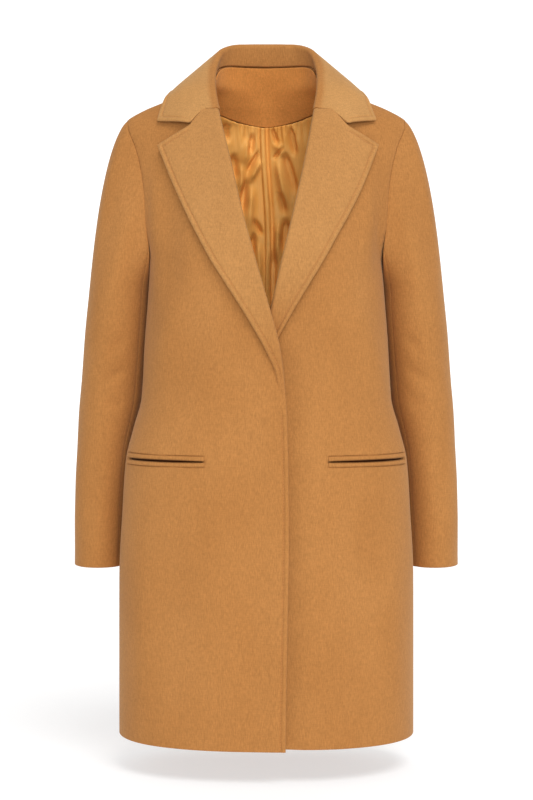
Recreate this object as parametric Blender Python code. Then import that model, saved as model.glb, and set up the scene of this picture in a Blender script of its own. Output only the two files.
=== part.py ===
"""A long wool coat with a notched collar, worn form, empty.

Metres, +Z up, the front faces -Y. The origin is between the two shoulder neck points, at the height
of the shoulders that carry the coat. Each cut or sewn piece is one closed wall of cloth.
"""
import math
from collections import namedtuple

import bmesh
import bpy
import numpy as np

RIGHT = -1
LEFT = 1

# Cloth
WALL = 0.0024
TURNED_WALL = 0.0034
FACING_WALL = 0.0018
LINING_WALL = 0.0010
WELT_WALL = 0.0016
SEAM = 0.0003

# Heights of the cut
HEM = -0.906
UNDER_HEM_LIFT = 0.0026
UNDERARM = -0.255
SHOULDER_POINT = -0.060
NECK_POINT = -0.008
NECK_HALF_WIDTH = 0.077
BACK_NECK = 0.021
GORGE = -0.0515
LINING_END = -0.860

# Armhole, as angles round the body that it scoops out in front and behind
ARMHOLE_FRONT_SCOOP = math.radians(22)
ARMHOLE_BACK_SCOOP = math.radians(18)
ARMHOLE_ROUND = 0.62

# How the rows of a panel share the side seam, the armhole and the shoulder
SIDE_HEIGHTS = [-0.906, -0.840, -0.770, -0.700, -0.640, -0.580, -0.535, -0.500, -0.476, -0.458,
                -0.430, -0.400, -0.365, -0.330, -0.292, -0.255]
ROW_UNDERARM = 0.60
ROW_SHOULDER = 0.86
FRONT_ROW_CHEST = -0.125
BACK_ROW_CHEST = -0.075

# Turned cloth: how it rolls, how far its middle lies off the front, and the shares of its way across
ROLL_RADIUS = 0.0030
TURN_AT_ROLL = 0.0048
TURN_AT_EDGE = 0.0036
GORGE_GAP = 0.0010
LAPEL_TURN_SHARE = 0.30
LAPEL_LEAST_WIDTH = 0.0045
COLLAR_STAND_SHARE = 0.24
COLLAR_FALL_SHARE = 0.54
COLLAR_TIP_LIFT = 0.0012
COLLAR_END_FROM = 0.82
SHORT_STAND = 0.0012
SHORT_STAND_FROM = 0.80
SHORT_STAND_TO = 0.90
NECK_LIFT = 0.0018
NECK_CURVE = 3.2

# The left front under the right: how deep it lies at the hem and behind the lapels, and where that fades
UNDER_DEPTH = 0.0036
UNDER_LAPEL_DEPTH = 0.0082
UNDER_LAPEL_FROM = -0.52
UNDER_LAPEL_TO = -0.42
UNDER_FADE_FROM = -0.345
UNDER_FADE_TO = -0.225
UNDER_NEAR = 0.032
UNDER_FAR = 0.105
TURN_BACK_FROM = -0.023
TURN_BACK_TO = -0.007

Section = namedtuple("Section", "height half_width side front back square_front square_back")
BODY = [
    Section(-0.960, 0.2045, 0.009, -0.141, 0.131, 0.015, 0.02),
    Section(-0.906, 0.2045, 0.008, -0.141, 0.130, 0.015, 0.02),
    Section(-0.800, 0.2040, 0.003, -0.140, 0.128, 0.015, 0.02),
    Section(-0.680, 0.2030, -0.005, -0.138, 0.124, 0.015, 0.02),
    Section(-0.600, 0.1985, -0.010, -0.136, 0.121, 0.02, 0.02),
    Section(-0.525, 0.1930, -0.014, -0.134, 0.117, 0.02, 0.02),
    Section(-0.480, 0.1820, -0.014, -0.132, 0.112, 0.02, 0.02),
    Section(-0.440, 0.1715, -0.012, -0.130, 0.106, 0.02, 0.02),
    Section(-0.360, 0.1670, -0.006, -0.127, 0.099, 0.02, 0.02),
    Section(-0.300, 0.1625, -0.002, -0.125, 0.100, 0.02, 0.02),
    Section(-0.255, 0.1600, 0.002, -0.121, 0.103, 0.02, 0.02),
    Section(-0.200, 0.1770, 0.004, -0.113, 0.107, -0.02, -0.02),
    Section(-0.150, 0.1860, 0.006, -0.102, 0.109, -0.05, -0.05),
    Section(-0.100, 0.1955, 0.008, -0.086, 0.108, -0.08, -0.07),
    Section(-0.074, 0.2000, 0.009, -0.076, 0.106, -0.10, -0.09),
    Section(-0.060, 0.1925, 0.010, -0.069, 0.104, -0.11, -0.10),
    Section(-0.045, 0.1680, 0.010, -0.060, 0.102, -0.13, -0.12),
    Section(-0.0357, 0.1460, 0.011, -0.054, 0.100, -0.13, -0.12),
    Section(-0.023, 0.1120, 0.011, -0.045, 0.098, -0.10, -0.10),
    Section(-0.008, 0.0770, 0.012, -0.037, 0.094, -0.05, -0.04),
    Section(0.021, 0.0730, 0.014, -0.023, 0.085, 0.00, 0.00),
    Section(0.040, 0.0710, 0.014, -0.020, 0.081, 0.00, 0.00),
]

# Front edge, then roll line: how far it lies from the centre to its own side, less than 0 past it.
FrontEdge = namedtuple("FrontEdge", "height right left")
FRONT_EDGE = [
    FrontEdge(-0.960, -0.0254, -0.0260),
    FrontEdge(-0.906, -0.0256, -0.0260),
    FrontEdge(-0.756, -0.0277, -0.0280),
    FrontEdge(-0.612, -0.0300, -0.0280),
    FrontEdge(-0.492, -0.0284, -0.0265),
    FrontEdge(-0.440, -0.0262, -0.0210),
    FrontEdge(-0.4125, -0.0238, -0.0155),
    FrontEdge(-0.360, -0.0145, -0.0030),
    FrontEdge(-0.327, -0.0055, 0.0053),
    FrontEdge(-0.2553, 0.0148, 0.0213),
    FrontEdge(-0.1900, 0.0325, 0.0365),
    FrontEdge(-0.1225, 0.0480, 0.0512),
    FrontEdge(-0.0515, 0.0650, 0.0650),
    FrontEdge(-0.0300, 0.0700, 0.0700),
]

# Outer edge of the lapels from the foot to the tip
LapelEdge = namedtuple("LapelEdge", "height right left")
LAPEL_EDGE = [
    LapelEdge(-0.4600, -0.0190, -0.0330),
    LapelEdge(-0.4467, -0.0178, -0.0280),
    LapelEdge(-0.4058, -0.0124, -0.0095),
    LapelEdge(-0.3736, 0.0009, 0.0065),
    LapelEdge(-0.3332, 0.0232, 0.0290),
    LapelEdge(-0.2408, 0.0792, 0.0815),
    LapelEdge(-0.1557, 0.1202, 0.1255),
    LapelEdge(-0.0985, 0.1442, 0.1490),
]

# Notch of each side: foot of the lapel, notch corner, lapel tip and collar tip
Notch = namedtuple("Notch", [
    "foot", "corner", "corner_height", "lapel_tip", "lapel_tip_height", "collar_tip", "collar_tip_height"])
NOTCH = {
    RIGHT: Notch(-0.452, 0.1008, -0.0712, 0.1442, -0.0985, 0.1465, -0.0655),
    LEFT: Notch(-0.398, 0.1070, -0.0715, 0.1490, -0.0975, 0.1480, -0.0645),
}

# Gorge seam from the roll line to the notch corner, as shares of the way across and down
GorgeRow = namedtuple("GorgeRow", "share across down")
GORGE_LINE = [
    GorgeRow(0.0, 0.0, 0.0),
    GorgeRow(0.4, 0.42, -0.02),
    GorgeRow(0.7, 0.72, 0.40),
    GorgeRow(1.0, 1.0, 1.0),
]
NOTCH_SHARE = 0.48

# Collar from the centre back (share 0) to the gorge (share 1), on the wearer's left
CollarRow = namedtuple("CollarRow", "share roll_x roll_y roll_z mid_x mid_y mid_z edge_x edge_y edge_z")
COLLAR = [
    CollarRow(0.00, 0.0000, 0.0820, 0.0525, 0.0000, 0.1060, 0.0260, 0.0000, 0.1200, -0.0120),
    CollarRow(0.25, 0.0360, 0.0750, 0.0515, 0.0520, 0.0970, 0.0230, 0.0680, 0.1090, -0.0140),
    CollarRow(0.45, 0.0610, 0.0510, 0.0420, 0.0920, 0.0660, 0.0170, 0.1190, 0.0720, -0.0140),
    CollarRow(0.60, 0.0690, 0.0270, 0.0215, 0.1040, 0.0330, 0.0050, 0.1360, 0.0360, -0.0195),
    CollarRow(0.70, 0.0712, 0.0100, 0.0050, 0.1068, 0.0125, -0.0035, 0.1395, 0.0165, -0.0235),
    CollarRow(0.80, 0.0706, -0.0165, -0.0160, 0.1085, -0.0100, -0.0175, 0.1430, -0.0005, -0.0320),
    CollarRow(0.90, 0.0682, -0.0325, -0.0345, 0.1065, -0.0275, -0.0370, 0.1460, -0.0135, -0.0480),
    CollarRow(1.00, 0.0656, -0.0425, -0.0455, 0.1050, -0.0335, -0.0420, 0.1475, -0.0190, -0.0550),
]
COLLAR_NECK_POINT_SHARE = 0.70

# Sleeves below the armhole, on the wearer's left
SleeveRow = namedtuple("SleeveRow", "height centre_x centre_y half_across half_deep")
SLEEVE = [
    SleeveRow(-0.677, 0.2335, 0.052, 0.0362, 0.0540),
    SleeveRow(-0.600, 0.2310, 0.049, 0.0370, 0.0550),
    SleeveRow(-0.520, 0.2265, 0.043, 0.0385, 0.0570),
    SleeveRow(-0.440, 0.2156, 0.042, 0.0446, 0.0590),
    SleeveRow(-0.360, 0.2085, 0.034, 0.0447, 0.0600),
    SleeveRow(-0.290, 0.2025, 0.026, 0.0430, 0.0600),
]
CUFF = SLEEVE[0].height
CAP_END = SLEEVE[-1].height
CAP_ROWS = 0.42
CAP_LEAN_TOP = math.radians(43)
CAP_LEAN_BOTTOM = math.radians(4)
CAP_PULL_TOP = 0.46
CAP_PULL_BOTTOM = 0.30
CAP_FORWARD = 0.04
UPPER_CAP_FROM = 0.20
UPPER_CAP_TO = 0.55
UPPER_CAP_ROWS = 0.12
UNDER_CAP_FROM = 0.06
UNDER_CAP_TO = 0.22
UNDER_CAP_ROWS = 0.25
SLEEVE_FRONT_SEAM = math.radians(40)
SLEEVE_HIND_SEAM = math.radians(-40)
SLEEVE_RADIUS = 0.045
ARMHOLE_GAP = 0.0009

# Pockets: two welts either side of a slit, on both fronts
POCKET_SLIT = -0.5213
POCKET_FROM = 0.0825
POCKET_TO = 0.1872
POCKET_SLIT_HALF = 0.0009
WELT_HEIGHT = 0.0066
WELT_CLEAR = 0.00075

# Facing and lining inside the back
FACING_DEPTH_AT_CENTRE = -0.061
FACING_DEPTH_AT_SHOULDER = -0.022
FACING_SPREAD = math.radians(89)
FACING_CLEAR = 0.0009
FACING_END_CLEAR = 0.0012
LINING_SPREAD = math.radians(64)
GATHER_COUNT = 21
GATHER_HEIGHT = 0.0028
PLEAT_HEIGHT = 0.0060
PLEAT_HALF_WIDTH = 0.0075
PLEAT_OFF_CENTRE = -0.006
PLEAT_FADE_FROM = 0.25
PLEAT_FADE_TO = 0.45
LINING_CLEAR_AT_FACING = 0.0014
LINING_CLEAR = 0.0056

WOOL = (0.545, 0.242, 0.067)
SATIN = (0.451, 0.156, 0.028)


def smooth(knots, values, at):
    """A curve through the knots that never overshoots them."""
    knots = np.asarray(knots, float)
    values = np.asarray(values, float)
    steps = np.diff(knots)
    slopes = np.diff(values) / steps
    tangents = np.zeros_like(values)
    tangents[0] = slopes[0]
    tangents[-1] = slopes[-1]
    for i in range(1, len(values) - 1):
        if slopes[i - 1] * slopes[i] > 0:
            before = 2 * steps[i] + steps[i - 1]
            after = steps[i] + 2 * steps[i - 1]
            tangents[i] = (before + after) / (before / slopes[i - 1] + after / slopes[i])
    at = np.asarray(at, float)
    place = np.clip(np.searchsorted(knots, at) - 1, 0, len(knots) - 2)
    span = steps[place]
    share = (at - knots[place]) / span
    square = share * share
    cube = square * share
    result = values[place] * (2 * cube - 3 * square + 1)
    result = result + values[place + 1] * (3 * square - 2 * cube)
    result = result + tangents[place] * span * (cube - 2 * square + share)
    result = result + tangents[place + 1] * span * (cube - square)
    return result


def column(rows, name):
    return np.array([getattr(row, name) for row in rows], float)


def read(rows, key, name, at):
    return smooth(column(rows, key), column(rows, name), at)


def ease(low, high, at):
    share = np.clip((np.asarray(at, float) - low) / (high - low), 0, 1)
    return share * share * (3 - 2 * share)


def mix(first, second, share):
    share = np.asarray(share, float)
    if np.ndim(first) > np.ndim(share):
        share = share[..., None]
    return first + (second - first) * share


def unit(vectors):
    return vectors / np.maximum(np.linalg.norm(vectors, axis=-1, keepdims=True), 1e-12)


def body(angle, height):
    """The form the panels are cut to: angle 0 is the centre front, a right angle is the wearer's left."""
    angle = np.asarray(angle, float)
    in_front = np.cos(angle) > 0
    width = read(BODY, "height", "half_width", height)
    side = read(BODY, "height", "side", height)
    front = side - read(BODY, "height", "front", height)
    behind = read(BODY, "height", "back", height) - side
    square_front = read(BODY, "height", "square_front", height)
    square_back = read(BODY, "height", "square_back", height)
    square = np.where(in_front, square_front, square_back)
    depth = np.where(in_front, front, behind)
    x = width * (np.sin(angle) + square * np.sin(3 * angle)) / (1 - square)
    y = side - depth * (np.cos(angle) - square * np.cos(3 * angle)) / (1 - square)
    return np.stack([x, y, np.broadcast_to(height, x.shape)], -1)


def body_normal(angle, height):
    step = 1e-4
    round_way = body(angle + step, height) - body(angle - step, height)
    up_way = body(angle, height + step) - body(angle, height - step)
    return unit(np.cross(round_way, up_way))


def angle_at(distance, height):
    """Angle in front where the form lies this far from the centre line."""
    distance = np.asarray(distance, float)
    width = read(BODY, "height", "half_width", height)
    square = read(BODY, "height", "square_front", height)
    goal = np.clip(np.abs(distance) / width, 0, 1) * (1 - square)
    low = np.zeros_like(goal)
    high = np.full_like(goal, math.pi / 2)
    for _ in range(40):
        middle = (low + high) / 2
        short = np.sin(middle) + square * np.sin(3 * middle) < goal
        low = np.where(short, middle, low)
        high = np.where(short, high, middle)
    return np.sign(distance) * (low + high) / 2


def seam_angle(height):
    """Half a seam's gap as an angle at the side line."""
    step = 1e-3
    right_angle = np.full_like(np.asarray(height, float), math.pi / 2)
    along = body(right_angle - step, height) - body(right_angle, height)
    return SEAM / 2 * step / np.linalg.norm(along, axis=-1)


def armhole(turn):
    """Angle and height of the armhole: turn 0 is the underarm, a right angle is the front."""
    middle = (UNDERARM + SHOULDER_POINT) / 2
    half = (SHOULDER_POINT - UNDERARM) / 2
    scoop = np.where(np.sin(turn) > 0, ARMHOLE_FRONT_SCOOP, ARMHOLE_BACK_SCOOP)
    bend = np.sign(np.sin(turn)) * np.abs(np.sin(turn)) ** ARMHOLE_ROUND
    return math.pi / 2 - scoop * bend, middle - half * np.cos(turn)


def outer_edge(along, in_front):
    """Side seam, armhole and shoulder seam, as an angle from the panel's own centre and a height."""
    side_share = np.clip(along / ROW_UNDERARM, 0, 1)
    hole_share = np.clip((along - ROW_UNDERARM) / (ROW_SHOULDER - ROW_UNDERARM), 0, 1)
    top_share = np.clip((along - ROW_SHOULDER) / (1 - ROW_SHOULDER), 0, 1)
    turn = math.pi * hole_share
    hole_angle, hole_height = armhole(turn if in_front else -turn)
    height = np.where(along < ROW_UNDERARM, mix(HEM, UNDERARM, side_share), hole_height)
    height = np.where(along > ROW_SHOULDER, mix(SHOULDER_POINT, NECK_POINT, top_share), height)
    in_hole = (along > ROW_UNDERARM) & (along < ROW_SHOULDER)
    angle = np.where(in_hole, hole_angle, math.pi / 2)
    gap = seam_angle(height)
    return angle - gap if in_front else angle + gap, height


def inner_height(along, chest, top):
    """Height of a panel's row at its inner edge."""
    knots = [0, ROW_UNDERARM, ROW_SHOULDER, 1]
    return np.interp(along, knots, [HEM, UNDERARM, chest, top])


def edge_distance(side, height):
    return read(FRONT_EDGE, "height", "right" if side == RIGHT else "left", height)


def turned_back(side, height):
    """How far the front stops short of the roll line, for the cloth that turns there."""
    foot = NOTCH[side].foot
    return (ROLL_RADIUS + 3 * SEAM) * ease(foot + TURN_BACK_FROM, foot + TURN_BACK_TO, height)


def inset(distance, height):
    """How far the left front lies in, under the right front."""
    deep = UNDER_DEPTH + UNDER_LAPEL_DEPTH * ease(UNDER_LAPEL_FROM, UNDER_LAPEL_TO, height)
    deep = deep * (1 - ease(UNDER_FADE_FROM, UNDER_FADE_TO, height))
    return deep * (1 - ease(UNDER_NEAR, UNDER_FAR, distance))


def front_point(side, angle, height, out):
    """A point of a front's outside, moved out along its normal. The angle is to the front's own side."""
    points = body(side * angle, height)
    normals = body_normal(side * angle, height)
    lift = out
    if side == LEFT:
        lift = out - inset(points[..., 0], height)
    return points + normals * np.asarray(lift)[..., None], normals


def front_panel(side):
    def place(across, along, depth):
        far_angle, far_height = outer_edge(along, True)
        near_height = inner_height(along, FRONT_ROW_CHEST, GORGE)
        if side == LEFT:
            near_height = near_height + UNDER_HEM_LIFT * (1 - ease(0, 0.25, along))
        near = edge_distance(side, near_height) + turned_back(side, near_height)
        near_angle = angle_at(near, near_height)
        top_share = ease(ROW_SHOULDER, 1, along)
        height = mix(near_height, far_height, 1 - (1 - across) ** mix(2.0, 1.0, top_share))
        far = side * body(side * far_angle, far_height)[..., 0]
        upper_angle = angle_at(mix(near, far, across), height)
        angle = mix(mix(near_angle, far_angle, across), upper_angle, top_share)
        angle = np.minimum(angle, far_angle)
        return front_point(side, angle, height, -depth)[0]
    return place


def back_panel(across, along, depth):
    spread = 2 * across - 1
    far = np.abs(spread)
    far_angle, far_height = outer_edge(along, False)
    near_height = inner_height(along, BACK_ROW_CHEST, BACK_NECK)
    bend = mix(2, NECK_CURVE, np.clip((along - ROW_SHOULDER) / (1 - ROW_SHOULDER), 0, 1))
    angle = math.pi - np.sign(spread) * far * (math.pi - far_angle)
    height = mix(near_height, far_height, far ** bend)
    return body(angle, height) - body_normal(angle, height) * depth


def neckline(share):
    """Angle and height of the neck seam, from the centre back (share 0) to the gorge (share 1)."""
    back_share = np.clip(share / COLLAR_NECK_POINT_SHARE, 0, 1)
    front_share = np.clip((share - COLLAR_NECK_POINT_SHARE) / (1 - COLLAR_NECK_POINT_SHARE), 0, 1)
    gorge_distance = edge_distance(LEFT, GORGE) + ROLL_RADIUS
    height = mix(BACK_NECK, NECK_POINT, back_share ** NECK_CURVE)
    height = np.where(front_share > 0, mix(NECK_POINT, GORGE, front_share), height)
    angle = math.pi - math.pi / 2 * back_share
    front_angle = angle_at(mix(NECK_HALF_WIDTH, gorge_distance, front_share), height)
    return np.where(front_share > 0, front_angle, angle), height


def gorge_line(side, share):
    """Distance from the centre and height along the gorge seam."""
    notch = NOTCH[side]
    across = read(GORGE_LINE, "share", "across", share)
    down = read(GORGE_LINE, "share", "down", share)
    start = edge_distance(side, GORGE) + ROLL_RADIUS
    return mix(start, notch.corner, across), mix(GORGE, notch.corner_height, down)


def lapel_patch(side, across, along):
    """Distance from the centre and height of a lapel's point."""
    notch = NOTCH[side]
    near_height = mix(notch.foot, GORGE, along)
    near = edge_distance(side, near_height) + ROLL_RADIUS
    far_height = mix(notch.foot, notch.lapel_tip_height, along)
    far = read(LAPEL_EDGE, "height", "right" if side == RIGHT else "left", far_height)
    end = read(LAPEL_EDGE, "height", "right" if side == RIGHT else "left", notch.lapel_tip_height)
    far = far + (notch.lapel_tip - end) * along ** 6
    far = np.maximum(far, near + LAPEL_LEAST_WIDTH)
    distance = mix(near, far, across)
    height = mix(near_height, far_height, across)
    on_gorge = np.clip(across / NOTCH_SHARE, 0, 1)
    on_tip = np.clip((across - NOTCH_SHARE) / (1 - NOTCH_SHARE), 0, 1)
    gorge_distance, gorge_height = gorge_line(side, on_gorge)
    top_distance = mix(gorge_distance, notch.lapel_tip, on_tip)
    top_height = mix(gorge_height, notch.lapel_tip_height, on_tip)
    top_start = edge_distance(side, GORGE) + ROLL_RADIUS
    pull = along ** 5
    distance = distance + pull * (top_distance - mix(top_start, notch.lapel_tip, across))
    height = height + pull * (top_height - mix(GORGE, notch.lapel_tip_height, across))
    return distance, height - GORGE_GAP * along ** 5


def lapel(side):
    def place(across, along, depth):
        """The first share of the way across turns round the roll line, the rest lies on the front."""
        flat = np.clip((across - LAPEL_TURN_SHARE) / (1 - LAPEL_TURN_SHARE), 0, 1)
        turn = math.pi * (1 - np.clip(across / LAPEL_TURN_SHARE, 0, 1))
        distance, height = lapel_patch(side, flat, along)
        angle = angle_at(distance, height)
        near_out = -WALL / 2
        middle = (TURN_AT_ROLL + near_out) / 2
        radius = (TURN_AT_ROLL - near_out) / 2
        layer = TURNED_WALL / 2 - depth
        on_front = mix(TURN_AT_ROLL, TURN_AT_EDGE, flat)
        out = np.where(flat > 0, on_front + layer, middle + (radius + layer) * np.cos(turn))
        points, normals = front_point(side, angle, height, out)
        roll_way = unit(
            front_point(side, *roll_place(side, along + 0.01), 0 * along)[0]
            - front_point(side, *roll_place(side, along - 0.01), 0 * along)[0])
        edge_way = unit(np.cross(roll_way, normals)) * -side
        return points + edge_way * ((radius + layer) * np.sin(turn))[..., None]
    return place


def roll_place(side, along):
    height = mix(NOTCH[side].foot, GORGE, along)
    return angle_at(edge_distance(side, height) + ROLL_RADIUS, height), height


def mirrored(rows, name, odd, at):
    """A collar column read from one gorge to the other."""
    shares = column(rows, "share")
    values = column(rows, name)
    knots = np.concatenate([-shares[:0:-1], shares])
    both = np.concatenate([(-1 if odd else 1) * values[:0:-1], values])
    return smooth(knots, both, at)


def collar_line(part, at):
    return np.stack([
        mirrored(COLLAR, part + "_x", True, at),
        mirrored(COLLAR, part + "_y", False, at),
        mirrored(COLLAR, part + "_z", False, at)], -1)


def collar_end(side, fall, out):
    """The collar's end on the front: along the gorge to the notch, then to the tip."""
    notch = NOTCH[side]
    on_gorge = np.clip(fall / NOTCH_SHARE, 0, 1)
    on_tip = np.clip((fall - NOTCH_SHARE) / (1 - NOTCH_SHARE), 0, 1)
    distance, height = gorge_line(side, on_gorge)
    distance = mix(distance, notch.collar_tip, on_tip)
    height = mix(height, notch.collar_tip_height, on_tip) + GORGE_GAP
    return front_point(side, angle_at(distance, height), height, out)[0]


def gorge_end(hand):
    """Where the roll ends at the gorge: a point of the front's edge, its normal and the way to the roll."""
    top = np.ones_like(hand, dtype=float)
    angle = angle_at(edge_distance(LEFT, GORGE * top) + ROLL_RADIUS, GORGE * top)
    base = body(hand * angle, GORGE * top)
    normals = body_normal(hand * angle, GORGE * top)
    lower = angle_at(edge_distance(LEFT, GORGE * top - 0.01) + ROLL_RADIUS, GORGE * top - 0.01)
    roll_way = unit(base - body(hand * lower, GORGE * top - 0.01))
    to_roll = unit(np.cross(roll_way, normals)) * -hand[..., None]
    return base + roll_way * 2 * GORGE_GAP + to_roll * GORGE_GAP, normals, to_roll


def collar_middle(across, along):
    """Middle surface of the collar: across runs neck seam, roll, outer edge; along runs right to left."""
    at = 2 * along - 1
    share = np.abs(at)
    hand = np.where(at < 0, RIGHT, LEFT)
    roll = collar_line("roll", at)
    mid = collar_line("mid", at)
    edge = collar_line("edge", at)
    way = unit(collar_line("roll", at + 0.01) - collar_line("roll", at - 0.01))
    angle, height = neckline(share)
    normals = body_normal(hand * angle, height)
    seam_way = unit(np.cross(way, normals))
    neck = body(hand * angle, height) - normals * WALL / 2 + seam_way * NECK_LIFT
    up = unit(roll - neck) + unit(roll - mid)
    up = unit(up - way * np.sum(up * way, -1, keepdims=True))
    out = np.cross(way, up)
    out = out * np.sign(np.sum(out * (mid - neck), -1, keepdims=True))
    centre = roll - up * ROLL_RADIUS
    ended = np.clip((share - COLLAR_END_FROM) / (1 - COLLAR_END_FROM), 0, 1) ** 2
    base, end_out, end_up = gorge_end(hand)
    neck = mix(neck, base - end_out * WALL / 2, ended)
    centre = mix(centre, base + end_out * (TURN_AT_ROLL - WALL / 2) / 2 + end_up * SHORT_STAND, ended)
    up = unit(mix(up, end_up, ended))
    out = unit(mix(out, end_out, ended))
    stand_top = centre - out * ROLL_RADIUS
    neck = mix(neck, stand_top - up * SHORT_STAND, ease(SHORT_STAND_FROM, SHORT_STAND_TO, share))
    fall_top = centre + out * ROLL_RADIUS
    stand_share = np.clip(across / COLLAR_STAND_SHARE, 0, 1)
    turn = np.clip((across - COLLAR_STAND_SHARE) / (COLLAR_FALL_SHARE - COLLAR_STAND_SHARE), 0, 1)
    fall = np.clip((across - COLLAR_FALL_SHARE) / (1 - COLLAR_FALL_SHARE), 0, 1)
    stand = mix(neck, stand_top, stand_share)
    swing = (math.pi * turn)[..., None]
    rolled = centre - out * ROLL_RADIUS * np.cos(swing) + up * ROLL_RADIUS * np.sin(swing)
    bend = 2 * mid - (fall_top + edge) / 2
    bowed = mix(mix(fall_top, bend, fall), mix(bend, edge, fall), fall)
    lift = mix(TURN_AT_ROLL, TURN_AT_EDGE + COLLAR_TIP_LIFT, fall)
    on_front = np.where(
        (hand == RIGHT)[..., None], collar_end(RIGHT, fall, lift), collar_end(LEFT, fall, lift))
    bowed = mix(bowed, on_front, ended)
    points = np.where((across < COLLAR_STAND_SHARE)[..., None], stand, rolled)
    return np.where((across > COLLAR_FALL_SHARE)[..., None], bowed, points)


def collar(across, along, depth):
    step = 2e-3
    over = collar_middle(np.minimum(across + step, 1), along)
    over = over - collar_middle(np.maximum(across - step, 0), along)
    round_way = collar_middle(across, np.minimum(along + step, 1))
    round_way = round_way - collar_middle(across, np.maximum(along - step, 0))
    normals = unit(np.cross(over, round_way))
    return collar_middle(across, along) - normals * (TURNED_WALL / 2 - depth)[..., None]


def sleeve_ring(turn, height):
    """The sleeve below the cap: turn 0 faces the body, a right angle is the front."""
    x = read(SLEEVE, "height", "centre_x", height)
    y = read(SLEEVE, "height", "centre_y", height)
    across = read(SLEEVE, "height", "half_across", height)
    deep = read(SLEEVE, "height", "half_deep", height)
    x = x - across * np.cos(turn)
    y = y - deep * np.sin(turn)
    return np.stack([x, y, np.broadcast_to(height, x.shape)], -1)


def sleeve_surface(turn, along):
    """The wearer's left sleeve from the armhole (along 0) to the cuff (along 1)."""
    angle, height = armhole(turn)
    start = body(angle, height)
    top = (1 - np.cos(turn)) / 2
    lean = mix(CAP_LEAN_BOTTOM, CAP_LEAN_TOP, top)
    way = np.stack([np.sin(lean), -CAP_FORWARD * np.sin(turn), -np.cos(lean)], -1)
    start = start + unit(way) * ARMHOLE_GAP
    start[..., 0] = start[..., 0] + (ARMHOLE_GAP + WALL / 2) * (1 - ease(0.02, 0.30, top))
    cap_end = np.full_like(turn, CAP_END)
    end = sleeve_ring(turn, cap_end)
    below = sleeve_ring(turn, cap_end - 0.004)
    length = np.linalg.norm(end - start, axis=-1, keepdims=True)
    pull = mix(CAP_PULL_BOTTOM, CAP_PULL_TOP, top)[..., None]
    leave = unit(way) * length * pull * 1.4
    arrive = unit(below - end) * length * pull
    share = np.clip(along / CAP_ROWS, 0, 1)[..., None]
    square = share * share
    cube = square * share
    cap = start * (2 * cube - 3 * square + 1) + end * (3 * square - 2 * cube)
    cap = cap + leave * (cube - 2 * square + share) + arrive * (cube - square)
    down = np.clip((along - CAP_ROWS) / (1 - CAP_ROWS), 0, 1)
    lower = sleeve_ring(turn, mix(CAP_END, CUFF, down))
    return np.where((along < CAP_ROWS)[..., None], cap, lower)


def sleeve_piece(side, first, last):
    def place(across, along, depth):
        gap = SEAM / 2 / SLEEVE_RADIUS
        turn = mix(first + gap, last - gap, across)
        step = 2e-3
        round_way = sleeve_surface(turn + step, along) - sleeve_surface(turn - step, along)
        down_way = sleeve_surface(turn, np.minimum(along + step, 1))
        down_way = down_way - sleeve_surface(turn, np.maximum(along - step, 0))
        normals = unit(np.cross(down_way, round_way))
        angle, height = armhole(turn)
        at_seam = body_normal(angle, height)
        at_ring = np.stack([-np.cos(turn), -np.sin(turn), 0 * turn], -1)
        top = (1 - np.cos(turn)) / 2
        upper = ease(UPPER_CAP_FROM, UPPER_CAP_TO, top) * (1 - ease(0, UPPER_CAP_ROWS, along))
        under = (1 - ease(UNDER_CAP_FROM, UNDER_CAP_TO, top)) * (1 - ease(UNDER_CAP_ROWS, CAP_ROWS, along))
        normals = unit(mix(mix(normals, at_ring, under), at_seam, upper))
        points = sleeve_surface(turn, along) - normals * depth[..., None]
        return points * np.array([side, 1, 1])
    return place


def welt(side, low, high):
    def place(across, along, depth):
        height = mix(low, high, along)
        distance = mix(POCKET_FROM, POCKET_TO, across)
        out = WELT_CLEAR + WELT_WALL - depth
        return front_point(side, angle_at(distance, height), height, out)[0]
    return place


def facing_foot(far):
    share = np.sin(math.pi / 2 * far) ** 1.5
    return mix(FACING_DEPTH_AT_CENTRE, FACING_DEPTH_AT_SHOULDER, share)


def back_neck_facing(across, along, depth):
    spread = 2 * across - 1
    far = np.abs(spread)
    top = mix(BACK_NECK, NECK_POINT, far ** NECK_CURVE)
    height = mix(facing_foot(far), top, along)
    angle = math.pi - spread * FACING_SPREAD
    inside = WALL + FACING_CLEAR + FACING_END_CLEAR * ease(0.5, 0.8, far) + depth
    return body(angle, height) - body_normal(angle, height) * inside[..., None]


def lining_back(across, along, depth):
    spread = 2 * across - 1
    far = np.abs(spread)
    top = facing_foot(far * LINING_SPREAD / FACING_SPREAD) - 2 * SEAM
    height = mix(LINING_END, top, along)
    angle = math.pi - spread * LINING_SPREAD
    points = body(angle, height)
    gathers = 0.5 + 0.5 * np.cos(2 * math.pi * GATHER_COUNT * across)
    below = top - height
    fullness = GATHER_HEIGHT * (0.35 + 0.65 * (1 - ease(0.02, 0.30, below)))
    from_pleat = (points[..., 0] - PLEAT_OFF_CENTRE) / PLEAT_HALF_WIDTH
    pleat = PLEAT_HEIGHT * np.exp(-from_pleat ** 2) * (1 - ease(PLEAT_FADE_FROM, PLEAT_FADE_TO, below))
    free = mix(LINING_CLEAR_AT_FACING, LINING_CLEAR, ease(0.0, 0.08, below))
    inside = WALL + free + gathers * fullness + pleat + depth
    return points - body_normal(angle, height) * inside[..., None]


def material(name, colour, roughness, sheen):
    made = bpy.data.materials.new(name)
    made.use_nodes = True
    shader = made.node_tree.nodes["Principled BSDF"]
    shader.inputs["Base Color"].default_value = (*colour, 1)
    shader.inputs["Roughness"].default_value = roughness
    shader.inputs["Sheen Weight"].default_value = sheen
    return made


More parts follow.
